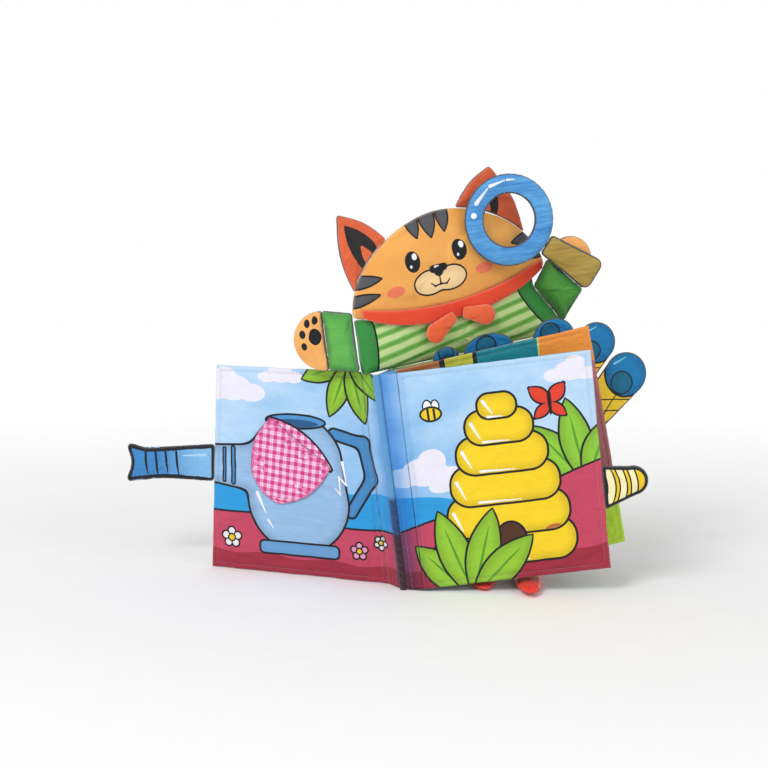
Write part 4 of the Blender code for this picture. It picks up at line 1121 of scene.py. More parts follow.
def tail_picture(tree, place, brush, wash, edge):
    """Cream and yellow bands between curved ink lines, in a heavy border."""
    parts = add(tree, "SeparateXYZ", place).outputs
    above = calc(tree, "SUBTRACT", parts[1], 65.0)
    out = calc(tree, "ADD", parts[0], calc(tree, "MULTIPLY", calc(tree, "MULTIPLY", above, above), 0.016))
    colour = mix(tree, brush, YELLOW, dye(0.90, 0.74, 0.14))
    for centre, width, fill in ((168.0, 3.0, CREAM), (177.0, 2.8, CREAM), (185.5, 2.6, CREAM)):
        off = calc(tree, "ABSOLUTE", calc(tree, "SUBTRACT", out, centre))
        colour = mix(tree, ramp_between(tree, off, width + 0.2, width - 0.2), colour, fill)
        line = calc(tree, "ABSOLUTE", calc(tree, "SUBTRACT", off, width))
        colour = mix(tree, ramp_between(tree, line, 0.75, 0.45), colour, INK)
    return bordered(tree, colour, edge, 2.8)


def feather_picture(centres):
    """Deep blue ends with a teal eye, and a yellow body crossed by ink lines."""
    def picture(tree, place, brush, wash, edge):
        colour = mix(tree, brush, dye(1.0, 0.88, 0.24), dye(0.96, 0.78, 0.14))
        spot = centres[0]
        layers = []
        for k in range(5):
            layers.append(([("limb", spot[0] - 42, spot[1] - 14 - 9 * k, spot[0] + 24, spot[1] - 24 - 9 * k,
                             0.5, 0.5, 0)],
                           INK, 0, PLAIN))
        layers.append(([("limb", spot[0] - 36, spot[1] - 44, spot[0] - 4, spot[1] - 8, 0.5, 0.5, 0)], INK, 0,
                       PLAIN))
        for x, z, size, eye_x, eye_z, eye in centres:
            layers.append(([("disc", x, z, size, size)], dye(0.02, 0.47, 0.70), 1.1,
                           {"streak": 0.45, "rim": 0.25}))
            layers.append(([("disc", x + eye_x, z + eye_z, eye, eye)], dye(0.02, 0.42, 0.56), 0.8))
            layers.append(stroke(x - 0.5 * size, z + 0.55 * size, x + 0.1 * size, z + 0.75 * size, 0.9,
                                 dye(0.45, 0.75, 0.88)))
        return bordered(tree, paint(tree, place, brush, colour, layers), edge, 1.0)
    return picture


TRUNK_CLOTH = cloth("blue_cloth_tab", trunk_picture, turn=CAN_TURN, seed=11, crinkle=0.9, crinkle_size=9)
TAIL_CLOTH = cloth("yellow_cloth_tail", tail_picture, seed=12, crinkle=0.5, crinkle_size=8)
FEATHER_CLOTHS = [
    cloth("deep_blue_cloth_top", feather_picture([(58, 175, 16, 0, 2, 6), (93, 177, 26, -2, 0, 8),
                                                  (147, 180, 22, -3, -1, 8)]), seed=13, crinkle=0.5),
    cloth("deep_blue_cloth_upper", feather_picture([(181.5, 166, 16.5, -6, -6, 8.0)]), seed=14, crinkle=0.5),
    cloth("deep_blue_cloth_lower", feather_picture([(203.5, 137, 18, -5, -6, 9.0)]), seed=15, crinkle=0.5),
]
print("tab cloths:", 2 + len(FEATHER_CLOTHS))


# %% Gingham
def gingham_picture(tree, place, brush, wash, edge):
    """The same checks as round the patch's seam, with painted shade deepening them towards its turned hem."""
    hem_shaded_checks = mix(tree, ramp_between(tree, edge, 6.0, 0.5, 0.0, 0.35), gingham(tree, place),
                 dye(0.84, 0.30, 0.56))
    return bordered(tree, hem_shaded_checks, edge, 0.5, dye(0.62, 0.14, 0.40))


GINGHAM = cloth("pink_gingham_flap", gingham_picture, roughness=0.8, sheen=0.1, thread=0.9, crinkle=1.3,
                crinkle_size=11, seed=16)
print("gingham nodes:", len(GINGHAM.node_tree.nodes))


# %% Plush head, ears and paws
HEAD_CENTRE = (76.5, 221.0)


FACE = -9.5


def head_picture(tree, place, brush, wash, edge):
    """A generic striped kitten's face: own stripes, eyes, nose and muzzle on plain orange."""
    orange = mix(tree, wash, dye(0.96, 0.72, 0.38), dye(0.91, 0.60, 0.27))
    grey, pale = dye(0.33, 0.33, 0.35), dye(0.98, 0.84, 0.62)
    soft = {"streak": 0.3, "rim": 0.1}
    layers = [
        ([("limb", FACE, 70, FACE, 46, 5.0, 0.6, 3.4)], grey, 1.0, soft),
        ([("limb", FACE - 14, 68, FACE - 12, 48, 4.0, 0.5, 2.8)], grey, 1.0, soft),
        ([("limb", FACE + 14, 68, FACE + 12, 48, 4.0, 0.5, 2.8)], grey, 1.0, soft),
    ]
    for side in (-1, 1):
        layers += [
            ([("limb", side * 84, 26, side * 58, 25, 3.6, 0.5, 2.4)], grey, 1.0, soft),
            ([("limb", side * 88, 12, side * 62, 13, 3.4, 0.5, 2.0)], grey, 1.0, soft),
            ([("disc", FACE + side * 39, 12, 7.5, 4.2)], dye(0.93, 0.48, 0.34), 0,
             {"streak": 0.4, "rim": 0.0}),
            ([("disc", FACE + side * 20.5, 31, 6.3, 8.2)], INK, 0, PLAIN),
            ([("disc", FACE + side * 20.5 + 2.2, 34.6, 2.1, 2.6)], WHITE, 0, PLAIN),
            ([("disc", FACE + side * 20.5 - 2.0, 27.6, 1.0, 1.2)], WHITE, 0, PLAIN),
        ]
    layers += [
        ([("disc", FACE - 9, 12, 14, 9.5), ("disc", FACE + 9, 12, 14, 9.5)], pale, 1.0,
         {"join": 5.0, "rim": 0.1}),
        ([("limb", FACE - 4.6, 21.5, FACE + 4.6, 21.5, 3.0, 3.0, 0), ("disc", FACE, 18.6, 3.8, 3.6)], INK, 0,
         {"join": 2.0, **PLAIN}),
        stroke(FACE - 2.4, 23.0, FACE + 0.8, 23.2, 0.9),
        ([("limb", FACE, 15.5, FACE, 9.0, 0.6, 0.6, 0), ("limb", FACE, 9.0, FACE - 5, 8.2, 0.6, 0.6, 0),
          ("limb", FACE - 5, 8.2, FACE - 8, 11.0, 0.6, 0.5, 0),
          ("limb", FACE, 9.0, FACE + 5, 8.2, 0.6, 0.6, 0),
          ("limb", FACE + 5, 8.2, FACE + 8, 11.0, 0.6, 0.5, 0)], INK, 0, {"join": 1.5, **PLAIN}),
    ]
    return paint(tree, place, brush, orange, layers)


def head_place(x, z):
    """Where the head's own origin lies on its print once its lean is taken off."""
    turned = Matrix.Rotation(-HEAD_LEAN, 2) @ Vector((x, z))
    return tuple(turned)


def ear_picture(root, tip, belly):
    def picture(tree, place, brush, wash, edge):
        red = mix(tree, wash, dye(0.92, 0.44, 0.25), dye(0.80, 0.30, 0.16))
        tuft_x, tuft_z = root[0] * 0.62 + tip[0] * 0.38, root[1] * 0.62 + tip[1] * 0.38
        layers = [
            ([("limb", *root, root[0] * 0.16 + tip[0] * 0.84, root[1] * 0.16 + tip[1] * 0.84, 7.5, 0.4,
               belly)],
             dye(0.10, 0.07, 0.08), 0, {"streak": 0.5, "rim": 0.0}),
            ([("limb", root[0], root[1], tuft_x, tuft_z, 4.0, 1.2, 1.5)], dye(0.90, 0.42, 0.24), 0,
             {"streak": 0.7, "rim": 0.0}),
        ]
        return bordered(tree, paint(tree, place, brush, red, layers), edge, 0.55, dye(0.35, 0.14, 0.12))
    return picture


def paw_picture(pads):
    """Pale orange plush with printed toe pads, none where pads is empty."""
    def picture(tree, place, brush, wash, edge):
        orange = mix(tree, wash, dye(0.97, 0.76, 0.46), dye(0.91, 0.58, 0.28))
        layers = [([("disc", *pad)], INK, 0, PLAIN) for pad in pads]
        return bordered(tree, paint(tree, place, brush, orange, layers), edge, 0.5, dye(0.50, 0.26, 0.14))
    return picture


HEAD_LEAN = math.radians(5.2)
HEAD_CLOTH = cloth("orange_plush_head", head_picture, roughness=0.72, sheen=0.45, turn=5.2,
                   shift=head_place(*HEAD_CENTRE), seed=17, crinkle=0.25, crinkle_size=22)
EAR_CLOTHS = [
    cloth("ear_cloth_left", ear_picture((15, 251), (-11, 290), 5.5), seed=18, sheen=0.4),
    cloth("ear_cloth_right", ear_picture((113, 270), (121, 309), 5.5), seed=19, sheen=0.4),
]
PADS = [(44, 203, 5.0, 6.4), (43, 215.5, 2.6, 3.2), (50, 213.5, 2.6, 3.2), (54.5, 205.5, 2.6, 3.2),
        (54, 196, 2.4, 3.0)]
LEFT_PAW_CLOTH = cloth("orange_plush_paw", paw_picture(PADS), roughness=0.75, sheen=0.45, seed=20)
PLAIN_PAW_CLOTH = cloth("orange_plush_plain", paw_picture([]), roughness=0.75, sheen=0.45, seed=21)
print("plush cloths:", 5)


# %% Shirt, sleeves, scarf, ring and handle
def shirt_picture(tree, place, brush, wash, edge):
    stripes = shirt_stripes(tree, place, brush, wash, edge)
    layers = [
        # Darker green bands at both upper sides, where the sleeves join: partly the seam, partly painted
        # shade under the arms.
        ([("limb", 0, 172, -2, 214, 6, 7, 2)], dye(0.20, 0.55, 0.24), 1.1, {"streak": 0.5}),
        ([("limb", 170, 178, 142, 214, 7, 8, 2)], dye(0.20, 0.55, 0.24), 1.1, {"streak": 0.5}),
    ]
    return paint(tree, place, brush, stripes, layers)


def sleeve_picture(tree, place, brush, wash, edge):
    """Green with darker washes, and painted shade that deepens towards the seams."""
    green = mix(tree, wash, dye(0.46, 0.76, 0.34), dye(0.16, 0.54, 0.22))
    streaked = add(tree, "VectorMath", green, None, None, calc(tree, "MULTIPLY_ADD", brush, 0.5, 0.75),
                   operation="SCALE").outputs[0]
    shaded = mix(tree, ramp_between(tree, edge, 7.0, 0.5, 0.0, 0.5), streaked, dye(0.05, 0.40, 0.18))
    return bordered(tree, shaded, edge, 0.5, dye(0.04, 0.22, 0.12))


def scarf_picture(tree, place, brush, wash, edge):
    red = mix(tree, wash, dye(0.94, 0.33, 0.17), dye(0.87, 0.20, 0.11))
    return add(tree, "VectorMath", red, None, None, calc(tree, "MULTIPLY_ADD", brush, 0.24, 0.88),
               operation="SCALE").outputs[0]


def scarf_tail_picture(tree, place, brush, wash, edge):
    red = mix(tree, wash, dye(0.96, 0.45, 0.26), dye(0.92, 0.34, 0.18))
    return add(tree, "VectorMath", red, None, None, calc(tree, "MULTIPLY_ADD", brush, 0.24, 0.88),
               operation="SCALE").outputs[0]


def ring_picture(tree, place, brush, wash, edge):
    """Streaky blue with thin dark rims and white glints at its upper left."""
    blue = mix(tree, ramp_between(tree, brush, 0.2, 0.8), dye(0.42, 0.72, 0.93), dye(0.10, 0.42, 0.72))
    glints = [stroke(98, 286, 108, 296, 1.6), stroke(110, 297.5, 122, 300.5, 1.3),
              stroke(124, 300.6, 130, 300.2, 0.9),
              ([("disc", 95, 277, 2.3, 2.3)], WHITE, 0, PLAIN)]
    painted = paint(tree, place, brush, blue, glints)
    return bordered(tree, painted, edge, 1.0, dye(0.03, 0.12, 0.24))


def handle_picture(tree, place, brush, wash, edge):
    khaki = mix(tree, ramp_between(tree, brush, 0.3, 0.7), dye(0.70, 0.62, 0.32), dye(0.48, 0.40, 0.14))
    washed = mix(tree, calc(tree, "MULTIPLY", wash, 0.5), khaki, dye(0.74, 0.56, 0.22))
    return bordered(tree, washed, edge, 1.2, dye(0.10, 0.12, 0.09))


SHIRT_CLOTH = cloth("striped_cloth_shirt", shirt_picture, seed=22, crinkle=0.5)
SLEEVE_CLOTH = cloth("sleeve_cloth_green", sleeve_picture, seed=23, crinkle=0.8, crinkle_size=18)
SCARF_CLOTH = cloth("scarf_cloth_band", scarf_picture, seed=24, crinkle=0.5)
SCARF_TAIL_CLOTH = cloth("scarf_cloth_tail", scarf_tail_picture, seed=25, crinkle=0.5)
RING_CLOTH = cloth("blue_cloth_ring", ring_picture, seed=26, crinkle=0.8, crinkle_size=8, roughness=0.55)
HANDLE_CLOTH = cloth("handle_cloth_khaki", handle_picture, seed=27, crinkle=0.5)
print("figure cloths done, materials:", len(bpy.data.materials))

# %% [markdown]
# ## Satin, binding, film and batting
#
# Four finishes carry no picture. The feet are heavy satin, which is smoother and shinier than the
# print and ribbed by its floats, with a painted sheen that lightens the crests of its folds. The
# binding is twill in the bands of the pages, painted darker than they are as painted shade in the
# spine's fold and darkest at its foot, with a whipping thread, the film is thin clear plastic with
# sharp creases, and the batting is a cloud of loose fibre. Their pieces are small or hidden, so their
# patterns read plain object coordinates.

# %% Plain finishes
def bare(name, roughness, sheen):
    material = bpy.data.materials.new(name)
    material.use_nodes = True
    tree = material.node_tree
    shader = tree.nodes["Principled BSDF"]
    shader.inputs["Sheen Weight"].default_value = sheen
    place = add(tree, "TexCoord").outputs["Object"]
    place = add(tree, "VectorMath", place, None, None, 1000.0, operation="SCALE").outputs[0]
    shader.inputs["Roughness"].default_value = roughness
    return material, tree, shader, place


def bump_from(tree, shader, height, depth, strength=0.6):
    bump = tree.nodes.new("ShaderNodeBump")
    bump.inputs["Strength"].default_value = strength
    bump.inputs["Distance"].default_value = depth
    tree.links.new(height, bump.inputs["Height"])
    tree.links.new(bump.outputs[0], shader.inputs["Normal"])


def satin():
    material, tree, shader, place = bare("red_satin_foot", 0.30, 0.15)
    shader.inputs["Coat Weight"].default_value = 0.25
    shader.inputs["Coat Roughness"].default_value = 0.25
    ribs = calc(tree, "SINE",
                calc(tree, "MULTIPLY", add(tree, "SeparateXYZ", place).outputs[1], math.tau / 1.1))
    weave = place_group(tree, WEAVE, place, 0.3)
    folds = place_group(tree, CRINKLES, place, 7.0)["Height"]
    colour = mix(tree, weave["Mottle"], dye(1.0, 0.20, 0.13), dye(0.86, 0.08, 0.07))
    # Painted sheen: the red is lifted towards a lighter orange-red on the crests of the folds.
    tree.links.new(mix(tree, calc(tree, "MULTIPLY", folds, 0.3), colour, dye(0.98, 0.34, 0.24)),
                   shader.inputs["Base Color"])
    height = calc(tree, "ADD", calc(tree, "MULTIPLY", ribs, 0.10), folds)
    bump_from(tree, shader, height, 0.0006)
    tree.links.new(calc(tree, "MULTIPLY_ADD", weave["Mottle"], 0.2, 0.2), shader.inputs["Roughness"])
    return material


def binding():
    material, tree, shader, place = bare("binding_cloth_dark", 0.8, 0.2)
    parts = add(tree, "SeparateXYZ", place).outputs
    slant = calc(tree, "ADD", calc(tree, "MULTIPLY", parts[2], math.tau / 1.3),
                 calc(tree, "MULTIPLY", parts[0], 4.8))
    twill = calc(tree, "SINE", slant)
    weave = place_group(tree, WEAVE, place, 0.4)
    # Painted shade: the bands take the pages' sky and rose but darker, as shade in the spine's fold, darkest
    # at its foot.
    bands = mix(tree, ramp_between(tree, parts[2], 42.0, 46.0), dye(0.20, 0.04, 0.09), dye(0.05, 0.27, 0.48))
    bands = mix(tree, ramp_between(tree, parts[2], 70.0, 76.0), bands, dye(0.36, 0.64, 0.86))
    dark = mix(tree, calc(tree, "MULTIPLY", weave["Mottle"], 0.3), bands, dye(0.10, 0.14, 0.24))
    thread = calc(tree, "SINE",
                  calc(tree, "MULTIPLY_ADD", parts[2], math.tau / 6.0, calc(tree, "MULTIPLY", parts[0], 0.5)))
    colour = mix(tree, calc(tree, "MULTIPLY", ramp_between(tree, thread, 0.90, 0.98), 0.12), dark,
                 dye(0.55, 0.60, 0.70))
    tree.links.new(colour, shader.inputs["Base Color"])
    bump_from(tree, shader, calc(tree, "ADD", calc(tree, "MULTIPLY", twill, 0.3), weave["Height"]), 0.0002)
    tree.links.new(calc(tree, "MULTIPLY_ADD", weave["Mottle"], 0.15, 0.7), shader.inputs["Roughness"])
    return material


def film():
    material, tree, shader, place = bare("crinkle_film_clear", 0.2, 0.0)
    creases = place_group(tree, CRINKLES, place, 9.0)["Height"]
    colour = mix(tree, creases, dye(0.80, 0.84, 0.87), dye(0.95, 0.97, 0.98))
    tree.links.new(colour, shader.inputs["Base Color"])
    shader.inputs["Alpha"].default_value = 0.55
    tree.links.new(calc(tree, "MULTIPLY_ADD", creases, 0.2, 0.1), shader.inputs["Roughness"])
    bump_from(tree, shader, creases, 0.0006, 0.9)
    return material


def fibre():
    material, tree, shader, place = bare("batting_fibre", 0.95, 0.5)
    strands = add(tree, "TexNoise", place, None, 0.8, 8.0, 0.7).outputs[0]
    tree.links.new(mix(tree, strands, dye(0.97, 0.97, 0.95), dye(0.88, 0.88, 0.85)),
                   shader.inputs["Base Color"])
    tree.links.new(calc(tree, "MULTIPLY_ADD", strands, 0.1, 0.88), shader.inputs["Roughness"])
    bump_from(tree, shader, strands, 0.0012, 0.8)
    return material


SATIN, BINDING, FILM_FINISH, FIBRE = satin(), binding(), film(), fibre()
print("plain finishes:", [m.name for m in (SATIN, BINDING, FILM_FINISH, FIBRE)])

# %% [markdown]
# ## The padded leaves
#
# A leaf is a print on polyester satin in front and another behind, with a thin plastic film under
# the front cloth, which crackles, and a layer of batting. It is bag-stitched round its edge: the
# two cloths lie close at the hem, a line of stitches runs four millimetres in, and the batting
# swells inside it.
#
# A plain box would read as a board. A grid whose lines crowd towards the hem has enough points
# there for the stitch groove and the puckers, and few in the middle, where the page is calm.

# %% Form of a page
PAGE_CELLS = 64
CLOTH, FILM, SEW_GAP = 0.00045, 0.00012, 0.0003
CROWN, CROWN_POWER, EDGE_CROWD = 0.0016, 6, 0.49


def crowd(share):
    """Grid lines drawn towards both ends."""
    return share - EDGE_CROWD * math.sin(math.tau * share) / math.tau


def swell(across, up):
    return (1 - abs(2 * across - 1) ** CROWN_POWER) * (1 - abs(2 * up - 1) ** CROWN_POWER)


def between(corners, across, up):
    return corners[0].lerp(corners[1], across).lerp(corners[3].lerp(corners[2], across), up)


def hem_distance(corners, across, up):
    """How far in from the nearest edge of the page, in mm."""
    width = (corners[1] - corners[0]).length * MM
    height = (corners[3] - corners[0]).length * MM
    return min(across * width, (1 - across) * width, up * height, (1 - up) * height)


def page_relief(spot, hem, seed):
    """Stitch groove, puckers that run in from it, and soft crinkles over the film, in metres."""
    groove = -0.00028 * math.exp(-((hem - 4) / 0.9) ** 2)
    inside = 1 - math.exp(-(hem / 7) ** 2)
    where = Vector((spot.x, spot.y, seed))
    pucker = noise.noise(where * 130) * math.exp(-((hem - 8) / 7) ** 2) * 0.00040
    wave = noise.noise(where * 22 + Vector((7, 1, 0))) * 0.00034
    crease = 1 - abs(noise.noise(where * 38 + Vector((3, 9, seed)))) * 2
    crinkle = -max(crease - 0.72, 0) * 0.0016
    return groove + pucker + (wave + crinkle) * inside


def page_grid(corners, place, seed, cells=PAGE_CELLS, first=0.0, inset=(0.0, 0.0), start=CLOTH + SEW_GAP / 2):
    """A closed pillow. First is the share left off each side, and inset what its faces lie further in."""
    builder = bmesh.new()
    side = builder.verts.layers.int.new("side")
    shares = builder.verts.layers.float.new("hem")
    bmesh.ops.create_grid(builder, x_segments=cells, y_segments=cells, size=0.5)
    bmesh.ops.translate(builder, verts=builder.verts, vec=(0.5, 0.5, 0))
    grown = bmesh.ops.extrude_face_region(builder, geom=builder.faces[:])
    for item in grown["geom"]:
        if isinstance(item, bmesh.types.BMVert):
            item[side] = 1
    for vert in builder.verts:
        across = first + (1 - 2 * first) * crowd(vert.co.x)
        up = first + (1 - 2 * first) * crowd(vert.co.y)
        flat = between(corners, across, up)
        hem = hem_distance(corners, across, up)
        relief = page_relief(flat, hem, seed + 5 * vert[side])
        out = start + CROWN * swell(across, up) + relief - inset[vert[side]]
        scallop = noise.noise(Vector((flat.x * 60, flat.y * 60, seed))) * 0.0006 * math.exp(-hem / 3)
        middle = (corners[0] + corners[2]) / 2
        flat += (flat - middle).normalized() * min(scallop, 0.0001)
        vert[shares] = hem
        vert.co = (flat.x, place + (out if vert[side] else -out), flat.y)
    bmesh.ops.recalc_face_normals(builder, faces=builder.faces)
    if builder.calc_volume(signed=True) < 0:
        bmesh.ops.reverse_faces(builder, faces=builder.faces)
    builder.verts.index_update()
    return builder


corners = page_corners("leaf_1_front_cloth", "leaf_1")
print("leaf 1 corners in mm:", [tuple(round(c * MM, 1) for c in corner) for corner in corners])


# %% Cloths, film and batting of a leaf
def one_side(pillow, wanted, name):
    """The front or the back of the pillow, as an open sheet that keeps its print marks."""
    builder = bmesh.new()
    builder.from_mesh(pillow.data)
    side = builder.verts.layers.int["side"]
    bmesh.ops.delete(builder, geom=[v for v in builder.verts if v[side] != wanted], context="VERTS")
    mesh = bpy.data.meshes.new(name)
    builder.to_mesh(mesh)
    builder.free()
    mesh.shade_smooth()
    sheet = bpy.data.objects.new(name, mesh)
    bpy.context.scene.collection.objects.link(sheet)
    return sheet


def thicken(sheet, thickness):
    """Gives a sheet its thickness, inwards from its outer face."""
    modifier = sheet.modifiers.new("thickness", "SOLIDIFY")
    modifier.thickness = thickness
    modifier.offset = -1
    modifier.use_even_offset = True


def seat(piece, node):
    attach(piece, carriers[node])
    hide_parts(node)
    return piece


def hem_loop(corners, parts=60):
    """Points round the page's edge."""
    points = []
    for i, corner in enumerate(corners):
        after = corners[(i + 1) % 4]
        points += [corner.lerp(after, k / parts) for k in range(parts)]
    return points


def make_leaf(name, seed):
    """The four soft pieces of one leaf, from one swelled pillow."""
    corners = page_corners(name + "_front_cloth", name)
    place = PLACES[name]
    builder = page_grid(corners, place, seed)
    builder.normal_update()
    mark(builder, hem_loop(corners))
    hem = builder.verts.layers.float["hem"]
    pinned = [vert.index for vert in builder.verts if vert[hem] < 4.6]
    pillow = finish_piece(name + "_pillow", builder, name)
    puff(pillow, pinned, 2.0, 0.00025, 0.0003, spare=0.012)
    made = []
    for wanted, part in enumerate(("_front_cloth", "_back_cloth")):
        sheet = one_side(pillow, wanted, name + part + "_print")
        thicken(sheet, CLOTH)
        seat(sheet, name + part)
        wear(sheet, PRINTS[name][wanted])
        made.append(sheet)
    film = page_grid(corners, place, seed, 40, 0.07, (CLOTH + SEW_GAP, 0))
    mark(film, hem_loop(corners))
    film_pillow = finish_piece(name + "_film_pillow", film, name)
    film_sheet = one_side(film_pillow, 0, name + "_film_sheet")
    thicken(film_sheet, FILM)
    seat(film_sheet, name + "_crinkle_film")
    wear(film_sheet, FILM_FINISH)
    inset = (CLOTH + FILM + 2.4 * SEW_GAP, CLOTH + 1.4 * SEW_GAP)
    batting = page_grid(corners, place, seed, 40, 0.07, inset)
    mark(batting, hem_loop(corners))
    fill = finish_piece(name + "_batting_fill", batting, name)
    seat(fill, name + "_batting")
    wear(fill, FIBRE)
    bpy.data.objects.remove(pillow)
    bpy.data.objects.remove(film_pillow)
    return made + [film_sheet, fill]


PRINTS = {
    "front_cover": (COVER_PRINT, CAN_PRINT),
    "leaf_1": (HIVE_PRINT, POND_PRINT),
    "leaf_2": (STRIP_PRINT, ROSE_PRINT),
    "leaf_3": (MEADOW_PRINT, NIGHT_PRINT),
    "back_cover": (SUNFLOWER_PRINT, STRIPE_PRINT),
}
LEAF_SLOTS = {
    "front_cover": ("pale_print", "sky_print"),
    "leaf_1": ("sky_print", "teal_print"),
    "leaf_2": ("teal_print", "rose_print"),
    "leaf_3": ("leaf_print", "teal_print"),
    "back_cover": ("leaf_print", "striped_cloth"),
}
leaves = {name: make_leaf(name, 10 + i) for i, (name, slots) in enumerate(LEAF_SLOTS.items())}
print("faces on one print:", len(leaves["leaf_1"][0].data.polygons))

# %% [markdown]
# ## The spine and its hinge strips
#
# The spine is a strip of cloth rolled tight and whipped with thread, in the pages' bands of colour
# with painted shade of the fold over them, and each leaf hangs on a doubled strip that is sewn into
# the roll. A smooth cylinder would look like a rod. The roll is drawn up from a circle one ring at a
# time, so that each ring can be pinched a little where the thread goes round it. The strips are thin
# sheets that ruckle where the leaf turns.

# %% Spine roll
SPINE_RADIUS, PAGE_HEIGHT = 0.003, 0.170


def make_spine():
    builder = bmesh.new()
    made = bmesh.ops.create_circle(builder, cap_ends=False, segments=36, radius=SPINE_RADIUS)
    bmesh.ops.translate(builder, verts=made["verts"], vec=(0, 0, -0.002))
    rim = builder.edges[:]
    rings = 90
    rise = (PAGE_HEIGHT + 0.002) / rings
    for _ in range(rings):
        grown = bmesh.ops.extrude_edge_only(builder, edges=rim)["geom"]
        verts = [item for item in grown if isinstance(item, bmesh.types.BMVert)]
        rim = [item for item in grown if isinstance(item, bmesh.types.BMEdge)]
        bmesh.ops.translate(builder, verts=verts, vec=(0, 0, rise))
    for vert in builder.verts:
        height = vert.co.z * MM
        turn = math.atan2(vert.co.y, vert.co.x)
        pinch = 0.05 * (0.5 + 0.5 * math.cos(math.tau * (height / 6 - turn / math.tau))) ** 6
        end = 0.4 * max(0, (height - 168.4) / 1.6) ** 2
        shrink = 1 - pinch - end - 0.03 * (0.5 + 0.5 * noise.noise(vert.co * 400))
        vert.co.x *= shrink
        vert.co.y *= shrink
    down = SPINE.to_3x3().inverted() @ Vector((0, 0, 1))
    everything = builder.verts[:] + builder.edges[:] + builder.faces[:]
    bmesh.ops.bisect_plane(builder, geom=everything, plane_co=(0, 0, 0), plane_no=down, clear_inner=True)
    bmesh.ops.holes_fill(builder, edges=[edge for edge in builder.edges if edge.is_boundary])
    bmesh.ops.recalc_face_normals(builder, faces=builder.faces)
    mesh = bpy.data.meshes.new("spine_roll")
    builder.to_mesh(mesh)
    builder.free()
    mesh.transform(SPINE)
    mesh.shade_smooth()
    roll = bpy.data.objects.new("spine_roll", mesh)
    bpy.context.scene.collection.objects.link(roll)
    seat(roll, "spine_binding")
    wear(roll, BINDING)
    return roll


spine_roll = make_spine()
print("spine roll faces:", len(spine_roll.data.polygons))


# %% Hinge strips
STRIP_CLOTHS = {"front_cover": CAN_PRINT, "leaf_1": HIVE_PRINT}


def make_strip(name, seed):
    corners = page_corners(name + "_front_cloth", name)
    place = PLACES[name]
    inner_low, inner_top = corners[0], corners[3]
    away = math.atan2(place, inner_low.x)
    root = Vector((math.cos(away), math.sin(away))) * (SPINE_RADIUS + SEW_GAP)
    end = Vector((inner_low.x - SEW_GAP, place))
    builder = bmesh.new()
    bmesh.ops.create_grid(builder, x_segments=8, y_segments=70, size=0.5)
    bmesh.ops.translate(builder, verts=builder.verts, vec=(0.5, 0.5, 0))
    for vert in builder.verts:
        across, up = vert.co.x, vert.co.y
        plan = root.lerp(end, across)
        low = inner_low.y * across
        top = PAGE_HEIGHT + (inner_top.y - PAGE_HEIGHT) * across
        slack = noise.noise(Vector((up * 14, across * 1.5, seed))) * 0.0009 * math.sin(math.pi * across)
        vert.co = (plan.x, plan.y + slack, low + (top - low) * up)
    mark(builder, [Vector((root.x, 0.17 * k / 100)) for k in range(101)])
    strip = finish_piece(name + "_strip", builder, name)
    modifier = strip.modifiers.new("thickness", "SOLIDIFY")
    modifier.thickness = 0.0007
    modifier.offset = 0
    seat(strip, name + "_hinge_strip")
    wear(strip, STRIP_CLOTHS.get(name, BINDING))
    return strip


strips = {name: make_strip(name, 30 + i) for i, name in enumerate(LEAF_SLOTS)}
print("hinge strips:", len(strips))

# %% [markdown]
# ## The shapes sewn to the leaves
#
# On the front cover a long wrinkled tab sticks out to the left and a gingham flap lifts. A banded
# tail tab leaves the first page, and five round tabs stand along the third leaf. All are two cloths
# and a little filling, so one function makes them, with the seam of each taken from its solid.
#
# The long tab has been bent a thousand times, so ridges run across it: its thickness is pinched at
# each printed fold.

# %% Tabs and flap
def thin_root(page, reach):
    """Thins a tab towards the page edge that it swings on, so that it turns there. Reach is in mm."""
    low, top = page_corners(page + "_front_cloth", page)[1:3]
    low, across = Vector((low.x, low.y)), Vector((top.y - low.y, low.x - top.x)).normalized()
    return lambda flat, share: 0.97 * max(0, 1 - abs((flat - low).dot(across)) * MM / reach)


def slimmer(part):
    """The same fold everywhere, for a piece that has to stay clear of one it swings past."""
    return lambda flat, share: part


def tab_folds(flat, share):
    """Pinches across the long tab, stronger towards its end."""
    out = (flat.x - 0.167) * MM
    return 0.16 * max(0, math.sin(out * 0.62)) * share if out > 14 else trunk_root(flat, share)


trunk_root = thin_root("front_cover", 10)
trunk = stuffed("trunk_tab", "front_cover", crease=tab_folds, sink=0.0009)
flap = stuffed("ear_flap", "front_cover", rings=10, pressure=1.5, cap=0.0002)
tail = stuffed("tail_tab", "leaf_1", spacing=0.0012, crease=thin_root("leaf_1", 6))
round_tabs = [
    stuffed(f"round_tab_{number}", "leaf_3", spacing=0.0012, rings=10)
    for number in range(1, 6)
]
wear(trunk, TRUNK_CLOTH)
wear(flap, GINGHAM)
wear(tail, TAIL_CLOTH)
for tab, finish in zip(round_tabs, [FEATHER_CLOTHS[0]] * 3 + FEATHER_CLOTHS[1:]):
    wear(tab, finish)
print("tabs:", 3 + len(round_tabs))

# %% [markdown]
# ## The animal figure
#
# A flat stuffed animal is sewn along the top of the back cover: a striped body, a broad head with
# two ears, a scarf, and two sleeved arms with plush paws. The head is the fattest piece of the
# book. Each is a stuffed shape of its own, sewn on along one edge, which is how the real one is
# made, and the head's dome keeps the roundness that its filling gives it.

# %% Body, head, ears and arms
def body_seam(node, plane):
    """The body's seam, eased at its low inner corner to hang to the cover and fill up to the sleeve."""
    loop, middle, half, lift = seam_of(node, plane)
    low = min(point.y for point in loop)
    eased = []
    for point in loop:
        near = max(0, 1 - (point.y - low) / 0.035) if point.x < 0 else 0
        eased.append(point + Vector((-0.0020 * near, -0.0012 * near ** 8)))
    return eased, middle, half, lift


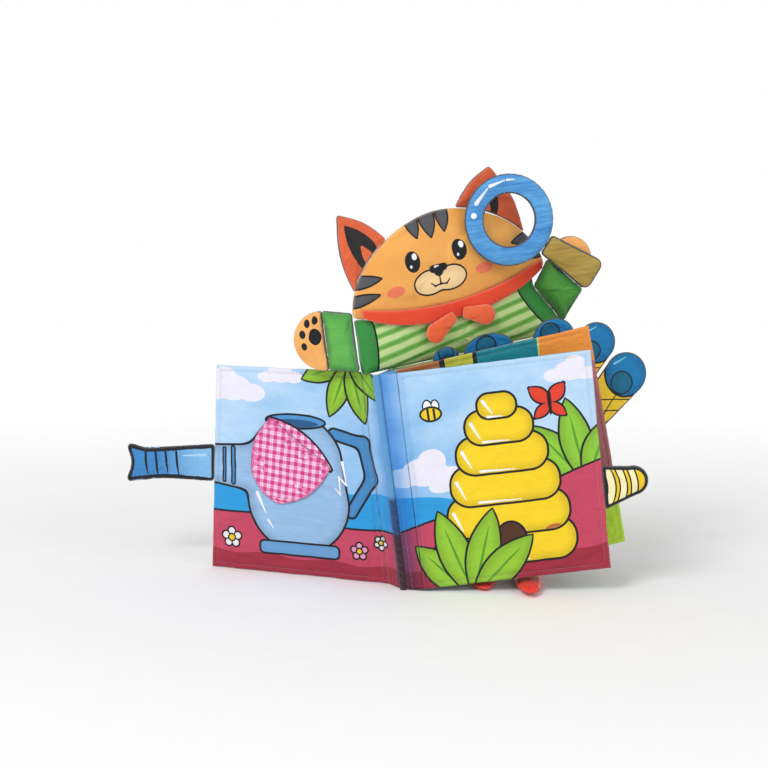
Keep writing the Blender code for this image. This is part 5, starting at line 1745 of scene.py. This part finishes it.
def left_sleeve_seam(node, plane):
    """The sleeve's seam, with its inner top corner eased down from the head that it swings under."""
    loop, middle, half, lift = sleeve_seam(node, plane)
    corner = max(loop, key=lambda point: point.y - point.x)
    return [point + Vector((0.0004, -0.0012)) if point == corner else point
            for point in loop], middle, half, lift


torso = stuffed("torso_panel", "back_cover", spacing=0.0025, corner_passes=1,
                read=body_seam)
head = stuffed("head", "back_cover", spacing=0.0022, rings=20, pressure=4.0,
               cap=0.0002, sink=0.0012, crease=slimmer(0.05))
ears = [stuffed(f"{side}_ear", "back_cover", spacing=0.0013)
        for side in ("left", "right")]
left_sleeve = stuffed("left_sleeve", "front_cover", spacing=0.0014, corner_passes=3,
                      cap=0.0001, sink=0.0012, crease=slimmer(0.10), read=left_sleeve_seam)
left_paw = stuffed("left_paw", "front_cover", spacing=0.0014)
right_sleeve = stuffed("right_sleeve", "arm", spacing=0.0014, sink=0.0012,
                       read=sleeve_seam)
right_paw = stuffed("right_paw", "arm", spacing=0.0014, cap=0.0001, crease=slimmer(0.08))
handle = stuffed("magnifier_handle", "arm", spacing=0.0014, cap=0.0001, crease=slimmer(0.12))
wear(torso, SHIRT_CLOTH)
wear(head, HEAD_CLOTH)
for ear, finish in zip(ears, EAR_CLOTHS):
    wear(ear, finish)
wear(left_sleeve, SLEEVE_CLOTH)
wear(right_sleeve, SLEEVE_CLOTH)
wear(left_paw, LEFT_PAW_CLOTH)
wear(right_paw, PLAIN_PAW_CLOTH)
wear(handle, HANDLE_CLOTH)
print("head faces:", len(head.data.polygons))

# %% [markdown]
# ## The scarf
#
# The scarf is a crescent of thin cloth tacked under the chin, with two round-ended tails at its
# middle. A crescent cut from a flat grid and sagged in its own plane keeps its weave running
# along it. Shallow ripples across it show that it hangs free between its two ends.

# %% Scarf
HEAD_CHIN = Vector((0.0765, 0.2210))
SCARF_END, SCARF_WIDTH, SCARF_SAG, SCARF_OUT = 0.0800, 0.0125, 0.0130, 0.0066


def make_scarf():
    builder = bmesh.new()
    bmesh.ops.create_grid(builder, x_segments=90, y_segments=12, size=0.5)
    bmesh.ops.translate(builder, verts=builder.verts, vec=(0.5, 0.5, 0))
    lean = Matrix.Rotation(HEAD_LEAN, 2)
    for vert in builder.verts:
        across, down = 2 * vert.co.x - 1, vert.co.y
        top = SCARF_WIDTH / 2 - SCARF_SAG * (1 - across ** 2)
        narrow = 1 - across ** 4 / 2
        spot = HEAD_CHIN + lean @ Vector((SCARF_END * across, top - SCARF_WIDTH * narrow * down))
        ripple = 0.0005 * math.sin(9 * across + 2 * down) * (1 - across ** 2)
        roll = -0.0006 * (2 * down - 1) ** 4
        vert.co = (spot.x, PLACES["back_cover"] - SCARF_OUT + ripple - roll, spot.y)
    bmesh.ops.recalc_face_normals(builder, faces=builder.faces)
    if sum(face.normal.y for face in builder.faces) > 0:
        bmesh.ops.reverse_faces(builder, faces=builder.faces)
    rim = [Vector((v.co.x, v.co.z)) for v in builder.verts if v.is_boundary]
    mark(builder, rim)
    band = finish_piece("scarf_band_cloth", builder, "back_cover")
    modifier = band.modifiers.new("thickness", "SOLIDIFY")
    modifier.thickness = 0.0012
    modifier.offset = 0
    rounding = band.modifiers.new("soft_rim", "BEVEL")
    rounding.width = 0.0004
    rounding.segments = 2
    rounding.limit_method = "ANGLE"
    seat(band, "scarf_band")
    return band


scarf = make_scarf()
wear(scarf, SCARF_CLOTH)
scarf_tails = [
    stuffed(f"scarf_tail_{side}", "back_cover", spacing=0.001, rings=8, cap=0.0002)
    for side in ("left", "right")
]
for tail_piece in scarf_tails:
    wear(tail_piece, SCARF_TAIL_CLOTH)
print("scarf faces:", len(scarf.data.polygons))

# %% [markdown]
# ## The cloth magnifier
#
# The ring is a stuffed tube, flat in section, with a seam round its outside and another round its
# hole. A torus would be too round and too even. A flat oval is spun round the ring's centre, and
# the filling then puckers it between its two seams.

# %% Ring
RING_CENTRE, RING_OFFSET = Vector((0.1229, 0.2701)), 0.0222
RING_OUTER, RING_INNER, RING_HALF = 0.0352, 0.0203, 0.0032


def make_ring():
    builder = bmesh.new()
    middle, half_width = (RING_OUTER + RING_INNER) / 2, (RING_OUTER - RING_INNER) / 2
    made = bmesh.ops.create_circle(builder, cap_ends=False, segments=28, radius=1)
    for vert in made["verts"]:
        turn = math.atan2(vert.co.y, vert.co.x)
        width = math.copysign(abs(math.cos(turn)) ** 0.85, math.cos(turn))
        rise = math.copysign(abs(math.sin(turn)) ** 0.85, math.sin(turn))
        vert.co = (middle + half_width * width, RING_HALF * rise, 0)
    bmesh.ops.spin(
        builder, geom=builder.edges[:] + builder.verts[:], cent=(0, 0, 0), axis=(0, 1, 0),
        angle=math.tau, steps=120, use_merge=True, use_duplicate=False,
    )
    bmesh.ops.remove_doubles(builder, verts=builder.verts, dist=1e-6)
    bmesh.ops.recalc_face_normals(builder, faces=builder.faces)
    if builder.calc_volume(signed=True) < 0:
        bmesh.ops.reverse_faces(builder, faces=builder.faces)
    for vert in builder.verts:
        reach = Vector((vert.co.x, vert.co.z)).length
        turn = math.atan2(vert.co.z, vert.co.x)
        edge = min(RING_OUTER - reach, reach - RING_INNER) * MM
        pucker = noise.noise(Vector((math.cos(turn) * 9, math.sin(turn) * 9, reach * 60)))
        vert.co.y *= 1 - 0.10 * (0.5 + 0.5 * pucker) * math.exp(-(edge / 2.5) ** 2)
    bmesh.ops.translate(builder, verts=builder.verts, vec=(RING_CENTRE.x, RING_OFFSET, RING_CENTRE.y))
    builder.verts.index_update()
    builder.normal_update()
    rims = []
    for radius in (RING_OUTER, RING_INNER):
        turns = [math.tau * k / 160 for k in range(160)]
        rims += [RING_CENTRE + radius * Vector((math.cos(turn), math.sin(turn))) for turn in turns]
    mark(builder, rims, -1)
    edge = builder.verts.layers.float["edge"]
    pinned = [vert.index for vert in builder.verts if vert[edge] < 0.2]
    ring = finish_piece("magnifier_ring_cloth", builder, "arm")
    puff(ring, pinned, 3.0, 0.0002, 0.0007)
    seat(ring, "magnifier_ring")
    wear(ring, RING_CLOTH)
    return ring


ring = make_ring()
print("ring faces:", len(ring.data.polygons))

# %% [markdown]
# ## The feet
#
# Two puffy satin feet lie under the leaves and hold the back cover up. Each is a fat little
# cushion, gathered where its cloth is drawn together at the ankle, with a short strap that goes up
# to the cover. The sole is flat because the book's weight rests on it.

# %% Feet
FEET = {
    "left_foot": {"centre": (0.0625, 0.0215), "half": (0.0105, 0.0305), "height": 0.0066},
    "right_foot": {"centre": (0.0975, 0.0200), "half": (0.0115, 0.0465), "height": 0.0096},
}
SOLE_CUT = 0.0005


def make_foot(name, foot):
    builder = bmesh.new()
    bmesh.ops.create_uvsphere(builder, u_segments=72, v_segments=36, radius=1)
    half_height = (foot["height"] + SOLE_CUT) / 2
    for vert in builder.verts:
        turn = math.atan2(vert.co.y, vert.co.x)
        gathers = 0.035 * math.sin(26 * turn + 3 * noise.noise(vert.co * 3)) * (1 - vert.co.z ** 2)
        dimple = 0.06 * noise.noise(vert.co * 3.2 + Vector((foot["height"] * 900, 0, 0)))
        grow = 1 - 0.035 + gathers * 0.9 - max(dimple, 0)
        spot = Vector((vert.co.x * foot["half"][0], vert.co.y * foot["half"][1],
                       vert.co.z * half_height)) * grow
        vert.co = spot + Vector((*foot["centre"], half_height - SOLE_CUT))
        vert.co.z = max(vert.co.z, 0)
    solid = welded(name)
    top = max(vert.co.z for vert in solid.verts)
    lid = [vert.co.copy() for vert in solid.verts if vert.co.z > top - 1e-5]
    solid.free()
    middle = sum(lid, Vector()) / len(lid)
    strap = bmesh.ops.create_cube(builder, size=1)["verts"]
    block = Matrix.Diagonal((0.0078, 0.0028, top - half_height, 1))
    heading = Matrix.Rotation(math.radians(26), 4, "Z")
    place = Matrix.Translation((middle.x, middle.y, (top + half_height) / 2))
    bmesh.ops.transform(builder, matrix=place @ heading @ block, verts=strap)
    edges = list({edge for vert in strap for edge in vert.link_edges})
    bmesh.ops.bevel(builder, geom=edges, offset=0.0009, affect="EDGES", segments=3, profile=0.5, material=-1)
    bmesh.ops.recalc_face_normals(builder, faces=builder.faces)
    mesh = bpy.data.meshes.new(name + "_satin")
    builder.to_mesh(mesh)
    builder.free()
    mesh.shade_smooth()
    made = bpy.data.objects.new(name + "_satin", mesh)
    bpy.context.scene.collection.objects.link(made)
    seat(made, name)
    wear(made, SATIN)
    return made


feet = [make_foot(name, foot) for name, foot in FEET.items()]
print("feet:", [foot.name for foot in feet])
